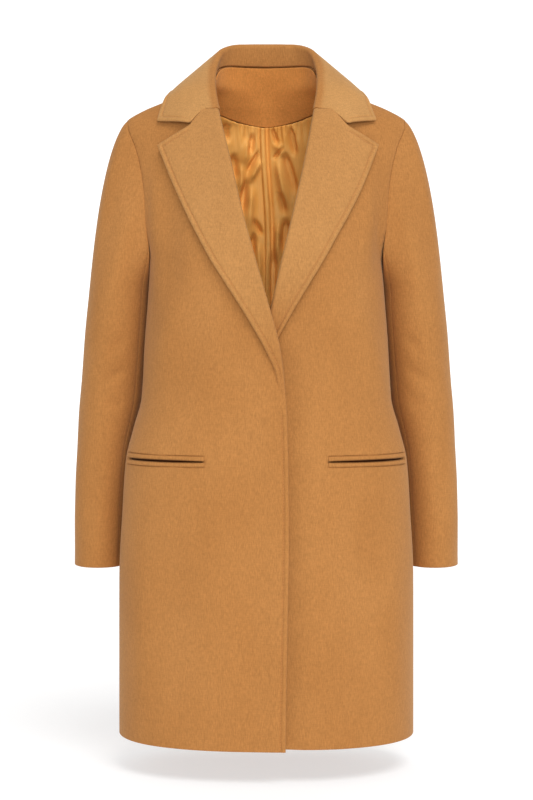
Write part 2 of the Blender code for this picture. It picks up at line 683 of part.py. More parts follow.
def wall(name, place, across, along, thickness, colour):
    """A closed wall of cloth: a grid laid on the outside, and its copy laid one thickness in."""
    grid = bmesh.new()
    bmesh.ops.create_grid(grid, x_segments=len(across) - 1, y_segments=len(along) - 1, size=1)
    across_layer = grid.verts.layers.float.new("across")
    along_layer = grid.verts.layers.float.new("along")
    for vert in grid.verts:
        vert[across_layer] = across[round((vert.co.x + 1) / 2 * (len(across) - 1))]
        vert[along_layer] = along[round((vert.co.y + 1) / 2 * (len(along) - 1))]
    copied = bmesh.ops.extrude_face_region(grid, geom=grid.faces[:])
    inside = {element for element in copied["geom"] if isinstance(element, bmesh.types.BMVert)}
    verts = list(grid.verts)
    at_across = np.array([vert[across_layer] for vert in verts])
    at_along = np.array([vert[along_layer] for vert in verts])
    depth = np.array([thickness if vert in inside else 0.0 for vert in verts])
    for vert, point in zip(verts, place(at_across, at_along, depth)):
        vert.co = point
    bmesh.ops.recalc_face_normals(grid, faces=grid.faces[:])
    if grid.calc_volume(signed=True) < 0:
        bmesh.ops.reverse_faces(grid, faces=grid.faces[:])
    mesh = bpy.data.meshes.new(name)
    grid.to_mesh(mesh)
    grid.free()
    mesh.materials.append(material(name, *colour))
    COAT.objects.link(bpy.data.objects.new(name, mesh))


def even(count):
    return np.linspace(0, 1, count + 1)


def panel_rows(hole_rows, shoulder_rows):
    """Rows of a panel, close together where the side bends in at the waist."""
    low = (np.array(SIDE_HEIGHTS) - HEM) / (UNDERARM - HEM) * ROW_UNDERARM
    hole = np.linspace(ROW_UNDERARM, ROW_SHOULDER, hole_rows + 1)[1:]
    top = np.linspace(ROW_SHOULDER, 1, shoulder_rows + 1)[1:]
    return np.concatenate([low, hole, top])


def lining_rows():
    return np.array([0, 0.22, 0.40, 0.52, 0.63, 0.74, 0.84, 0.93, 1])


def lapel_rows():
    return np.array([0, 0.05, 0.11, 0.18, 0.27, 0.39, 0.52, 0.65, 0.77, 0.86, 0.93, 1])


def laid_columns(start):
    """Columns of turned cloth past its roll, with one at the notch corner."""
    to_notch = np.linspace(0, NOTCH_SHARE, 4)[1:]
    to_edge = np.linspace(NOTCH_SHARE, 1, 4)[1:]
    return start + (1 - start) * np.concatenate([to_notch, to_edge])


def lapel_columns():
    return np.concatenate([np.linspace(0, LAPEL_TURN_SHARE, 5), laid_columns(LAPEL_TURN_SHARE)])


def collar_rows():
    """Rows from one gorge to the other, closer towards both ends."""
    shares = np.array([0, 0.12, 0.24, 0.36, 0.47, 0.57, 0.66, 0.74, 0.81, 0.87, 0.92, 0.96, 1])
    return 0.5 + 0.5 * np.concatenate([-shares[:0:-1], shares])


def collar_columns():
    stand = np.linspace(0, COLLAR_STAND_SHARE, 3)
    turned = np.linspace(COLLAR_STAND_SHARE, COLLAR_FALL_SHARE, 5)[1:]
    return np.concatenate([stand, turned, laid_columns(COLLAR_FALL_SHARE)])


for old in list(bpy.data.objects):
    bpy.data.objects.remove(old)

COAT = bpy.data.collections.new("long coat")
bpy.context.scene.collection.children.link(COAT)

wool = (WOOL, 0.9, 0.35)
satin = (SATIN, 0.4, 0.1)
sides = {"right": RIGHT, "left": LEFT}

for hand, side in sides.items():
    wall(f"front_{hand}", front_panel(side), even(10), panel_rows(9, 4), WALL, wool)
    wall(f"lapel_{hand}", lapel(side), lapel_columns(), lapel_rows(), TURNED_WALL, wool)
    upper = sleeve_piece(side, SLEEVE_FRONT_SEAM, SLEEVE_HIND_SEAM + 2 * math.pi)
    under = sleeve_piece(side, SLEEVE_HIND_SEAM, SLEEVE_FRONT_SEAM)
    wall(f"sleeve_{hand}_upper", upper, even(14), even(15), WALL, wool)
    wall(f"sleeve_{hand}_under", under, even(4), even(15), WALL, wool)
    top = POCKET_SLIT + POCKET_SLIT_HALF
    foot = POCKET_SLIT - POCKET_SLIT_HALF
    wall(f"pocket_{hand}_welt_upper", welt(side, top, top + WELT_HEIGHT), even(9), even(1), WELT_WALL, wool)
    wall(f"pocket_{hand}_welt_lower", welt(side, foot - WELT_HEIGHT, foot), even(9), even(1), WELT_WALL, wool)

wall("back", lambda u, v, d: back_panel(u, v, d[..., None]), even(18), panel_rows(9, 4), WALL, wool)
wall("collar", collar, collar_columns(), collar_rows(), TURNED_WALL, wool)
wall("back_neck_facing", back_neck_facing, even(18), even(4), FACING_WALL, wool)
wall("lining_back", lining_back, even(63), lining_rows(), LINING_WALL, satin)
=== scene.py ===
"""Looks of a long wool coat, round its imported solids. Metres, +Z up, the front faces -Y."""
import math
from collections import namedtuple

import bpy
import numpy as np
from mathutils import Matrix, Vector


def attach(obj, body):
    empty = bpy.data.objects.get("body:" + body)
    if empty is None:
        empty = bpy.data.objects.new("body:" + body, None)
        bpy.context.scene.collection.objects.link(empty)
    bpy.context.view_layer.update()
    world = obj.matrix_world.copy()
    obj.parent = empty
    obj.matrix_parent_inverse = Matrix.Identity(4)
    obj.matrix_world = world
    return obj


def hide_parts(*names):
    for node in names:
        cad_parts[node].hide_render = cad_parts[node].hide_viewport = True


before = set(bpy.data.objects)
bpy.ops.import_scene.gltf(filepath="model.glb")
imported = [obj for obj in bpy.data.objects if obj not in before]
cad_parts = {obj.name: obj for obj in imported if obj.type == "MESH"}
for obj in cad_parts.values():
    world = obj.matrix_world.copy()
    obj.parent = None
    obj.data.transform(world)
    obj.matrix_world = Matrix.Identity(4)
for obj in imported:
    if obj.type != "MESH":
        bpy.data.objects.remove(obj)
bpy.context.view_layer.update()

RIGHT = -1
LEFT = 1
HAND = {RIGHT: "right", LEFT: "left"}


def table(columns, rows):
    """Rows with named columns."""
    row_type = namedtuple("Row", columns)
    return [row_type(*row) for row in rows]


# Cloth. Here and below, a pair of values is where something begins and ends
WALL = 0.0024
TURNED_WALL = 0.0034
FACING_WALL = 0.0018
LINING_WALL = 0.0010
WELT_WALL = 0.0016
SEAM = 0.00004

# Heights of the cut
HEM = -0.906
UNDER_HEM_LIFT = 0.0026
UNDERARM = -0.255
SHOULDER_POINT = -0.060
NECK_POINT = -0.008
NECK_HALF_WIDTH = 0.077
BACK_NECK = 0.021
GORGE = -0.0515
LINING_END = -0.860

# Armhole: the angles that it scoops out of the front and the back, and its place
ARMHOLE_FRONT_SCOOP = math.radians(22)
ARMHOLE_BACK_SCOOP = math.radians(18)
ARMHOLE_ROUND = 0.62
ARMHOLE_MIDDLE = (UNDERARM + SHOULDER_POINT) / 2
ARMHOLE_HALF = (SHOULDER_POINT - UNDERARM) / 2

# Turned cloth: how it rolls, how far off the front it lies, shares of its way across, and how it is drawn
ROLL_RADIUS = 0.0030
TURN_AT_ROLL = 0.0048
TURN_AT_EDGE = 0.0036
GORGE_GAP = 0.0003
LAPEL_TURN_SHARE = 0.30
LAPEL_LEAST_WIDTH = 0.0045
COLLAR_STAND_SHARE = 0.24
COLLAR_FALL_SHARE = 0.54
COLLAR_TIP_LIFT = 0.0012
COLLAR_END_FROM = 0.82
SHORT_STAND = 0.0012
SHORT_STAND_FADE = (0.80, 0.90)
NECK_LIFT = 0.0018
NECK_CURVE = 5.0
TIP_PULL = 6
GORGE_PULL = 5
WAY_STEP = 0.01

# The left front under the right: how deep it lies at the hem and behind the lapels, and where that fades
UNDER_DEPTH = 0.0036
UNDER_LAPEL_DEPTH = 0.0082
UNDER_LAPEL_FADE = (-0.52, -0.42)
UNDER_FADE = (-0.345, -0.225)
UNDER_REACH = (0.032, 0.105)
TURN_BACK_FROM = 0.018
TURN_BACK_TO = 0.040

BODY = table("height half_width side front back square_front square_back", [
    (-0.960, 0.2045, 0.009, -0.141, 0.131, 0.015, 0.02),
    (-0.906, 0.2045, 0.008, -0.141, 0.130, 0.015, 0.02),
    (-0.800, 0.2040, 0.003, -0.140, 0.128, 0.015, 0.02),
    (-0.680, 0.2030, -0.005, -0.138, 0.124, 0.015, 0.02),
    (-0.600, 0.1985, -0.010, -0.136, 0.121, 0.02, 0.02),
    (-0.525, 0.1930, -0.014, -0.134, 0.117, 0.02, 0.02),
    (-0.480, 0.1820, -0.014, -0.132, 0.112, 0.02, 0.02),
    (-0.440, 0.1715, -0.012, -0.130, 0.106, 0.02, 0.02),
    (-0.360, 0.1670, -0.006, -0.127, 0.099, 0.02, 0.02),
    (-0.300, 0.1625, -0.002, -0.125, 0.100, 0.02, 0.02),
    (-0.255, 0.1600, 0.002, -0.121, 0.103, 0.02, 0.02),
    (-0.200, 0.1770, 0.004, -0.113, 0.107, -0.02, -0.02),
    (-0.150, 0.1860, 0.006, -0.102, 0.109, -0.05, -0.05),
    (-0.100, 0.1955, 0.008, -0.086, 0.108, -0.08, -0.07),
    (-0.074, 0.2000, 0.009, -0.076, 0.106, -0.10, -0.09),
    (-0.060, 0.1925, 0.010, -0.069, 0.104, -0.11, -0.10),
    (-0.045, 0.1680, 0.010, -0.060, 0.102, -0.13, -0.12),
    (-0.0357, 0.1460, 0.011, -0.054, 0.100, -0.13, -0.12),
    (-0.023, 0.1120, 0.011, -0.045, 0.098, -0.10, -0.10),
    (-0.008, 0.0770, 0.012, -0.037, 0.094, -0.05, -0.04),
    (0.021, 0.0730, 0.014, -0.023, 0.085, 0.00, 0.00),
    (0.040, 0.0710, 0.014, -0.020, 0.081, 0.00, 0.00),
])

# Front edge, then roll line: how far it lies from the centre to its own side, less than 0 past it.
FRONT_EDGE = table("height right left", [
    (-0.960, -0.0254, -0.0260),
    (-0.906, -0.0256, -0.0260),
    (-0.756, -0.0277, -0.0280),
    (-0.612, -0.0300, -0.0280),
    (-0.492, -0.0284, -0.0265),
    (-0.440, -0.0262, -0.0210),
    (-0.4125, -0.0238, -0.0155),
    (-0.360, -0.0145, -0.0030),
    (-0.327, -0.0055, 0.0053),
    (-0.2553, 0.0148, 0.0213),
    (-0.1900, 0.0325, 0.0365),
    (-0.1225, 0.0480, 0.0512),
    (-0.0515, 0.0650, 0.0650),
    (-0.0300, 0.0700, 0.0700),
])

# Outer edge of the lapels from the foot to the tip
LAPEL_EDGE = table("height right left", [
    (-0.4600, -0.0190, -0.0330),
    (-0.4467, -0.0178, -0.0280),
    (-0.4058, -0.0124, -0.0095),
    (-0.3736, 0.0009, 0.0065),
    (-0.3332, 0.0232, 0.0290),
    (-0.2408, 0.0792, 0.0815),
    (-0.1557, 0.1202, 0.1255),
    (-0.0985, 0.1442, 0.1490),
])

# Notch of each side: foot of the lapel, notch corner, lapel tip and collar tip
Notch = namedtuple("Notch", [
    "foot", "corner", "corner_height", "lapel_tip", "lapel_tip_height", "collar_tip", "collar_tip_height"])
NOTCH = {
    RIGHT: Notch(-0.452, 0.1008, -0.0712, 0.1442, -0.0985, 0.1465, -0.0655),
    LEFT: Notch(-0.398, 0.1070, -0.0715, 0.1490, -0.0975, 0.1480, -0.0645),
}

# Gorge seam from the roll line to the notch corner, as shares of the way across and down
GORGE_LINE = table("share across down", [
    (0.0, 0.0, 0.0),
    (0.4, 0.42, -0.02),
    (0.7, 0.72, 0.40),
    (1.0, 1.0, 1.0),
])
NOTCH_SHARE = 0.48

# Collar from the centre back (share 0) to the gorge (share 1), on the wearer's left
COLLAR = table("share roll_x roll_y roll_z mid_x mid_y mid_z edge_x edge_y edge_z", [
    (0.00, 0.0000, 0.0820, 0.0525, 0.0000, 0.1060, 0.0260, 0.0000, 0.1200, -0.0120),
    (0.25, 0.0360, 0.0750, 0.0515, 0.0520, 0.0970, 0.0230, 0.0680, 0.1090, -0.0140),
    (0.45, 0.0610, 0.0510, 0.0420, 0.0920, 0.0660, 0.0170, 0.1190, 0.0720, -0.0140),
    (0.60, 0.0690, 0.0270, 0.0215, 0.1040, 0.0330, 0.0050, 0.1335, 0.0360, -0.0205),
    (0.70, 0.0712, 0.0100, 0.0050, 0.1068, 0.0125, -0.0035, 0.1360, 0.0165, -0.0255),
    (0.80, 0.0706, -0.0165, -0.0160, 0.1085, -0.0100, -0.0175, 0.1405, -0.0005, -0.0335),
    (0.90, 0.0682, -0.0325, -0.0345, 0.1065, -0.0275, -0.0370, 0.1452, -0.0135, -0.0485),
    (1.00, 0.0656, -0.0425, -0.0455, 0.1050, -0.0335, -0.0420, 0.1475, -0.0190, -0.0550),
])
COLLAR_NECK_POINT_SHARE = 0.70

# Sleeves below the armhole, on the wearer's left
SLEEVE = table("height centre_x centre_y half_across half_deep", [
    (-0.677, 0.2335, 0.052, 0.0362, 0.0540),
    (-0.600, 0.2310, 0.049, 0.0370, 0.0550),
    (-0.520, 0.2265, 0.043, 0.0385, 0.0570),
    (-0.440, 0.2156, 0.042, 0.0446, 0.0590),
    (-0.360, 0.2085, 0.034, 0.0447, 0.0600),
    (-0.290, 0.2025, 0.026, 0.0430, 0.0600),
])
CUFF = SLEEVE[0].height
CAP_END = SLEEVE[-1].height
CAP_ROWS = 0.42
CAP_LEAN_TOP = math.radians(43)
CAP_LEAN_BOTTOM = math.radians(4)
CAP_PULL_TOP = 0.46
CAP_PULL_BOTTOM = 0.30
CAP_FORWARD = 0.04
CAP_LEAVE = 1.4
CAP_SLOPE_STEP = 0.004
UNDERARM_OUT = (0.02, 0.30)
UPPER_CAP = (0.20, 0.55)
UPPER_CAP_ROWS = 0.12
UNDER_CAP = (0.06, 0.22)
UNDER_CAP_ROWS = 0.25
SLEEVE_FRONT_SEAM = math.radians(40)
SLEEVE_HIND_SEAM = math.radians(-40)
SLEEVE_RADIUS = 0.045
SLEEVE_STEP = 2e-3
ARMHOLE_GAP = 0.0003

# Pockets: two welts either side of a slit, on both fronts
POCKET_SLIT = -0.5213
POCKET_FROM = 0.0825
POCKET_TO = 0.1872
POCKET_SLIT_HALF = 0.0009
WELT_HEIGHT = 0.0066
WELT_CLEAR = 0.00075

# Facing and lining inside the back
FACING_DEPTH_AT_CENTRE = -0.061
FACING_DEPTH_AT_SHOULDER = -0.022
FACING_SPREAD = math.radians(89)
FACING_CLEAR = 0.0009
FACING_END_CLEAR = 0.0012
FACING_END = (0.5, 0.8)
FACING_CURVE = 1.5
LINING_SPREAD = math.radians(64)
PLEAT_HEIGHT = 0.0046
PLEAT_HALF_WIDTH = 0.0075
PLEAT_OFF_CENTRE = -0.006
PLEAT_FADE = (0.25, 0.45)
LINING_DROP = 0.04
LINING_CLEAR_AT_FACING = 0.0014
LINING_CLEAR = 0.0056

# How close the points of a piece lie: even steps, how finely lines are read, and distances from edges
STEP = 0.0036
TURNED_STEP = STEP * 0.8
BACK_STEP = STEP * 1.3
NEAR_EDGE = 0.9
FINE_LINES = 400
HALVINGS = 40
EDGE_SHARE = 0.7
TURNED_AT = [0, 0.0003, 0.0008, 0.0015, 0.0026, 0.0042]
SEWN_AT = [0, 0.0003, 0.0007, 0.0012, 0.0022, 0.0040]
STITCHED_AT = TURNED_AT + [0.0054, 0.0062, 0.0068, 0.0074, 0.0082, 0.0095, 0.0115]
CORNER_AT = [-0.0025, -0.0012, 0, 0.0001, 0.0003, 0.0007, 0.0014, 0.0025]
WELT_AT = TURNED_AT[:4]
WELT_STEP = 0.003
WELT_ROW_STEP = 0.0008
LEAST_ROW = 0.00004

# Panels as level slices, and the angle up to which their columns run straight
FRONT_TOP = NECK_POINT - 0.003
BACK_TOP = BACK_NECK - 0.0006
UNDER_LIFT_TO = -0.635
STRAIGHT_TO = math.radians(60)
FRONT_STRAIGHT = (0.3, 0.95)
BACK_STRAIGHT = (0.05, 0.35)
ARMHOLE_TUCK = math.radians(5)
ARMHOLE_TUCK_TO = 0.6

# Edges: how far a face rounds off, and how deep it is drawn into a seam
Edge = namedtuple("Edge", "radius dip")
SEWN = Edge(0.0007, 0.0005)
SEAM_SPREAD = 0.0035
ROUND_SHARE = 0.46
RIM_HEIGHT = 0.0011
RIM_AT = 0.0034
RIM_WIDTH = 0.0021

# How far edges stand off, how the left front dips beside the right, how the lapel's foot sinks in
FRONT_LIFT = 0.0024
FRONT_LIFT_WIDTH = 0.030
UNDER_DIP = 0.0046
UNDER_DIP_WIDTH = 0.017
UNDER_DIP_FADE = (-0.40, -0.34)
LAPEL_LIFT = 0.0042
LAPEL_LIFT_FROM = 0.3
LAPEL_LIFT_FADE = (0.10, 0.45)
LAPEL_FOOT_FADE = 0.010
LAPEL_SINK = 0.0072
LAPEL_SINK_TO = 0.24
LAPEL_FOOT_REACH = 0.55
COLLAR_LIFT = 0.0042
COLLAR_LIFT_LENGTH = 0.042
COLLAR_LIFT_FROM = 0.30
COLLAR_LIFT_TO = 0.60
COLLAR_TIP_DOWN = 0.85
COLLAR_PASSES = (60, 6)
TIP_FADE = (-0.02, 0.05)
OFF_TIP = 0.05

# Topstitching, with a bar stitch low on the right front. The stitch column lies just outside the stitches
STITCH_IN = 0.0068
STITCH_SINK = 0.0011
STITCH_SINK_WIDTH = 0.0012
STITCH_PITCH = 0.0036
STITCH_LENGTH = 0.0028
STITCH_RADIUS = 0.00032
STITCH_SIDES = 6
STITCH_COLUMN = -8
STITCH_FOOT_CLEAR = 0.004
STITCH_LEAST_WIDTH = 0.018
FINISH_FADE = (0.02, 0.12)
STITCH_RINGS = table("along radius lift", [
    (-1.0, 0.30, -0.00017),
    (-0.6, 0.95, 0.00011),
    (0.0, 1.0, 0.00021),
    (0.6, 0.95, 0.00011),
    (1.0, 0.30, -0.00017),
])
BAR_HEIGHT = -0.795
BAR_FROM = -0.0275
BAR_TO = -0.0195
BAR_POINTS = 8

# Soft creases: from and to, how wide to each side, and how high (less than 0 is a trough)
CREASE = "x1 z1 x2 z2 half_width height"
CREASES = {
    "front_right": table(CREASE, [
        (-0.152, -0.095, -0.146, -0.360, 0.0100, 0.0028),
        (-0.130, -0.150, -0.121, -0.350, 0.0130, -0.0024),
        (-0.112, -0.270, -0.156, -0.425, 0.0150, 0.0030),
        (-0.085, -0.330, -0.130, -0.470, 0.0180, -0.0020),
        (-0.060, -0.420, -0.070, -0.900, 0.0300, 0.0022),
        (-0.125, -0.560, -0.118, -0.930, 0.0240, -0.0026),
        (-0.168, -0.580, -0.172, -0.930, 0.0160, 0.0022),
        (-0.010, -0.560, -0.016, -0.930, 0.0220, -0.0018),
        (-0.165, -0.500, -0.100, -0.545, 0.0100, 0.0012),
    ]),
    "front_left": table(CREASE, [
        (0.143, -0.100, 0.131, -0.280, 0.0110, 0.0028),
        (0.156, -0.170, 0.150, -0.300, 0.0080, -0.0020),
        (0.116, -0.290, 0.166, -0.455, 0.0140, 0.0032),
        (0.096, -0.340, 0.140, -0.470, 0.0160, -0.0020),
        (0.070, -0.430, 0.078, -0.900, 0.0300, 0.0020),
        (0.128, -0.570, 0.122, -0.930, 0.0250, -0.0026),
        (0.170, -0.570, 0.175, -0.930, 0.0170, 0.0022),
        (0.030, -0.600, 0.026, -0.930, 0.0200, -0.0016),
        (0.168, -0.495, 0.105, -0.540, 0.0100, 0.0012),
    ]),
    "back": table(CREASE, [
        (-0.100, -0.090, -0.112, -0.420, 0.0170, 0.0032),
        (-0.068, -0.130, -0.075, -0.400, 0.0200, -0.0026),
        (0.096, -0.085, 0.110, -0.400, 0.0180, 0.0034),
        (0.066, -0.120, 0.070, -0.420, 0.0190, -0.0024),
        (-0.145, -0.240, -0.120, -0.330, 0.0100, -0.0022),
        (0.146, -0.235, 0.118, -0.320, 0.0100, -0.0022),
        (-0.040, -0.430, -0.052, -0.930, 0.0300, 0.0034),
        (0.048, -0.460, 0.060, -0.930, 0.0280, 0.0032),
        (0.004, -0.500, 0.000, -0.930, 0.0260, -0.0030),
        (-0.118, -0.520, -0.126, -0.930, 0.0260, -0.0032),
        (0.122, -0.540, 0.132, -0.930, 0.0250, -0.0032),
        (-0.172, -0.560, -0.180, -0.930, 0.0180, 0.0024),
        (0.174, -0.570, 0.182, -0.930, 0.0180, 0.0024),
        (-0.060, -0.462, 0.050, -0.470, 0.0120, -0.0014),
    ]),
}
CREASE_IN = 0.35
CREASE_OUT = 0.60
CREASE_CLEAR = 0.02
FRONT_CREASE_CLEAR = 0.03

# Creases of the wearer's left sleeve: turn is in degrees from the side that faces the body
SLEEVE_CREASES = table("turn1 z1 turn2 z2 half_width height", [
    (62, -0.350, 108, -0.392, 0.0080, -0.0020),
    (58, -0.398, 116, -0.424, 0.0080, -0.0026),
    (60, -0.452, 104, -0.446, 0.0085, -0.0020),
    (84, -0.370, 150, -0.420, 0.0110, 0.0018),
    (100, -0.150, 96, -0.330, 0.0110, 0.0024),
    (138, -0.110, 132, -0.300, 0.0140, -0.0020),
    (210, -0.120, 222, -0.320, 0.0150, 0.0022),
    (250, -0.170, 262, -0.300, 0.0110, -0.0020),
    (206, -0.388, 270, -0.446, 0.0220, -0.0019),
    (222, -0.462, 280, -0.490, 0.0200, 0.0014),
    (110, -0.480, 104, -0.650, 0.0120, -0.0016),
    (152, -0.500, 158, -0.670, 0.0150, 0.0016),
    (236, -0.520, 230, -0.660, 0.0140, -0.0016),
])

# Lining: gathers under the facing, then its larger folds, which lie deeper and broader by these factors
FOLD_DEPTH = 2.3
FOLD_SPREAD = 1.3
GATHERS = table("x drift length half_width height", [
    (-0.114, 0.03, 0.15, 0.0055, 0.0030),
    (-0.094, -0.06, 0.16, 0.0050, 0.0034),
    (-0.078, -0.10, 0.15, 0.0042, 0.0034),
    (-0.066, 0.05, 0.10, 0.0034, 0.0030),
    (-0.054, -0.08, 0.05, 0.0022, 0.0026),
    (-0.044, 0.10, 0.07, 0.0030, 0.0030),
    (-0.035, -0.10, 0.04, 0.0022, 0.0022),
    (-0.027, 0.12, 0.06, 0.0026, 0.0026),
    (-0.016, 0.02, 0.05, 0.0024, 0.0024),
    (0.006, 0.20, 0.05, 0.0022, 0.0024),
    (0.013, 0.12, 0.04, 0.0018, 0.0024),
    (0.019, -0.10, 0.03, 0.0016, 0.0022),
    (0.025, 0.14, 0.05, 0.0020, 0.0028),
    (0.032, -0.05, 0.03, 0.0016, 0.0022),
    (0.040, 0.16, 0.06, 0.0024, 0.0030),
    (0.048, -0.06, 0.04, 0.0018, 0.0024),
    (0.055, 0.10, 0.06, 0.0026, 0.0028),
    (0.066, 0.04, 0.12, 0.0036, 0.0030),
    (0.092, 0.08, 0.16, 0.0050, 0.0034),
    (0.112, 0.02, 0.14, 0.0055, 0.0030),
])
GATHER_SPREAD = 1.2
GATHER_FADE = 0.2
LINING_FOLDS = table(CREASE, [
    (-0.0215, -0.066, -0.0250, -0.104, 0.0032, -0.0036),
    (-0.0300, -0.072, -0.0330, -0.120, 0.0046, 0.0028),
    (-0.0090, -0.090, -0.0320, -0.128, 0.0019, -0.0030),
    (-0.0060, -0.104, -0.0290, -0.142, 0.0036, 0.0030),
    (-0.0610, -0.050, -0.0580, -0.085, 0.0040, -0.0036),
    (-0.0505, -0.095, -0.0450, -0.140, 0.0040, -0.0050),
    (-0.0420, -0.110, -0.0370, -0.160, 0.0044, 0.0034),
    (-0.0310, -0.130, -0.0370, -0.192, 0.0036, -0.0050),
    (-0.0230, -0.140, -0.0270, -0.215, 0.0050, 0.0036),
    (-0.0200, -0.190, -0.0050, -0.217, 0.0026, -0.0036),
    (-0.0190, -0.208, -0.0206, -0.250, 0.0030, -0.0040),
    (-0.0120, -0.220, -0.0090, -0.290, 0.0036, 0.0028),
    (0.0070, -0.058, 0.0205, -0.091, 0.0026, -0.0036),
    (0.0140, -0.078, 0.0280, -0.104, 0.0040, 0.0026),
    (0.0290, -0.087, 0.0090, -0.107, 0.0020, -0.0034),
    (0.0360, -0.058, 0.0455, -0.106, 0.0036, -0.0050),
    (0.0250, -0.091, 0.0470, -0.160, 0.0038, -0.0060),
    (0.0160, -0.100, 0.0330, -0.180, 0.0050, 0.0040),
    (0.0200, -0.150, 0.0290, -0.190, 0.0036, -0.0036),
    (0.0300, -0.186, 0.0245, -0.244, 0.0042, -0.0060),
    (0.0190, -0.190, 0.0160, -0.260, 0.0046, 0.0036),
    (0.0115, -0.230, 0.0080, -0.320, 0.0040, -0.0046),
])
PLEAT_DRIFT = 0.0085
PLEAT_DRIFT_LENGTH = 0.16
PLEAT_RISE = (-0.9, -0.2)
PLEAT_FALL = (0.42, 0.60)
PLEAT_CREASE = -0.0018
PLEAT_CREASE_AT = -0.62
PLEAT_CREASE_WIDTH = 0.13
PLEAT_BEHIND = -0.0030
PLEAT_BEHIND_AT = 0.95
PLEAT_BEHIND_WIDTH = 0.36
LINING_OFF = 0.0040
LINING_FINE = 0.42
LINING_FINE_COLUMNS = 170
LINING_WIDE_COLUMNS = 28
LINING_LOW = 0.62
LINING_LOW_ROWS = 50
LINING_TOP_ROWS = 150

# Pocket: how deep the slit and the seams round the welts are drawn in, and how wide the painted shade in
# the slit spreads
SLIT_DEPTH = 0.0060
SLIT_WIDTH = 0.0021
SLIT_OPEN = 0.0011
SLIT_OPEN_WIDTH = 0.0018
SLIT_SHADE_WIDTH = 0.0024
POCKET_END_FADE = 0.003
WELT_SHADE_WIDTH = 0.0013
WELT_SEAM_DEPTH = 0.0010
WELT_SEAM_WIDTH = 0.0009
WELT_END_WIDTH = 0.0016
WELT_SEAM_SINK = 0.0014
WELT_SINK_WIDTH = 0.0012
POCKET_SWELL = 0.0008
POCKET_SWELL_WIDTH = 0.006
POCKET_ROWS = [-0.0026, -0.0016, -0.0010, -0.0005, 0, 0.0005, 0.0010, 0.0016, 0.0026]

# Colours: tints multiply the wool as painted light: a painted highlight on the upward faces of the collar
# and lapels, painted light on the facing, which lies in shade, and painted shade in the pocket slits
WOOL = (0.430, 0.186, 0.0530)
WOOL_DARK = (0.411, 0.175, 0.0488)
WOOL_LIGHT = (0.450, 0.198, 0.0580)
SATIN = (0.880, 0.450, 0.118)
SATIN_DARK = (0.740, 0.330, 0.068)
PAINTED_TOP_LIGHT = (1.16, 1.36, 1.62)
PAINTED_FACING_LIGHT = (1.45, 1.34, 1.12)
PAINTED_SLIT_SHADE = (0.12, 0.07, 0.05)
LAPEL_LIGHT = 0.55
LAPEL_LIGHT_FADE = (0.1, 0.4)
COLLAR_LIGHT = 1.0
COLLAR_LIGHT_TO = 0.12
THREAD_SHINE = 1.2
NOISE_LOW = 0.30
NOISE_MIDDLE = 0.50
NOISE_HIGH = 0.70

# Floor that sweeps up into a far wall
GROUND = (0.50, 0.50, 0.50)
GROUND_GLOW = 0.58
FLOOR_BELOW_HEM = 0.045
FLOOR_HALF = 9.0
FLOOR_BACK = 4.6
SWEEP_RADIUS = 1.6
SWEEP_STEPS = 12
FAR_WALL = 7.0

# Light: spread is in degrees
WORLD_LIGHT = 0.45
LIGHT_AIM = (0, 0, -0.4)
SUNS = table("name place power spread", [
    ("key", (0.8, -2.0, 2.7), 1.55, 30),
    ("front", (0.15, -3.0, 0.15), 1.05, 28),
])

# Camera: the focal length and the middle column are in pixels of the photograph
CAMERA_PLACE = (0.0, -3.0, -0.320)
CAMERA_DOWN = math.radians(2.37)
PHOTO_WIDTH = 533
PHOTO_HEIGHT = 800
FOCAL_PIXELS = 2174
CENTRE_PIXEL = 266.3
SENSOR = 36.0

# Each piece's net cut: width, length and area, how it is held, and what it hangs from or lies on
Sheet = namedtuple("Sheet", "width length area held rests_on")
SLEEVE_UPPER_CUT = Sheet(0.372, 0.628, 0.129, "hung", ["back"])
SLEEVE_UNDER_CUT = Sheet(0.085, 0.459, 0.033, "hung", ["back"])
WELT_CUT = Sheet(0.140, 0.0105, 0.00105, "laid", [])
SHEETS = {
    "front_right": Sheet(0.310, 1.004, 0.220, "hung", ["back"]),
    "front_left": Sheet(0.310, 1.004, 0.216, "hung", ["back"]),
    "back": Sheet(0.541, 1.086, 0.436, "hung", ["collar"]),
    "sleeve_right_upper": SLEEVE_UPPER_CUT,
    "sleeve_left_upper": SLEEVE_UPPER_CUT,
    "sleeve_right_under": SLEEVE_UNDER_CUT,
    "sleeve_left_under": SLEEVE_UNDER_CUT,
    "collar": Sheet(0.120, 0.518, 0.0484, "folded", ["back"]),
    "lapel_right": Sheet(0.115, 0.441, 0.0272, "folded", ["front_right"]),
    "lapel_left": Sheet(0.118, 0.384, 0.0256, "folded", ["front_left"]),
    "back_neck_facing": Sheet(0.307, 0.084, 0.0167, "hung", ["back"]),
    "lining_back": Sheet(0.403, 0.868, 0.294, "gathered", ["back_neck_facing"]),
    "pocket_right_welt_upper": WELT_CUT._replace(rests_on=["front_right"]),
    "pocket_right_welt_lower": WELT_CUT._replace(rests_on=["front_right"]),
    "pocket_left_welt_upper": WELT_CUT._replace(rests_on=["front_left"]),
    "pocket_left_welt_lower": WELT_CUT._replace(rests_on=["front_left"]),
}

Lay = namedtuple("Lay", "points inside normals near far foot top")


def hermite(start, end, leave, arrive, share):
    """A curve from start to end that leaves and arrives along the given ways."""
    square = share * share
    cube = square * share
    line = start * (2 * cube - 3 * square + 1) + end * (3 * square - 2 * cube)
    return line + leave * (cube - 2 * square + share) + arrive * (cube - square)


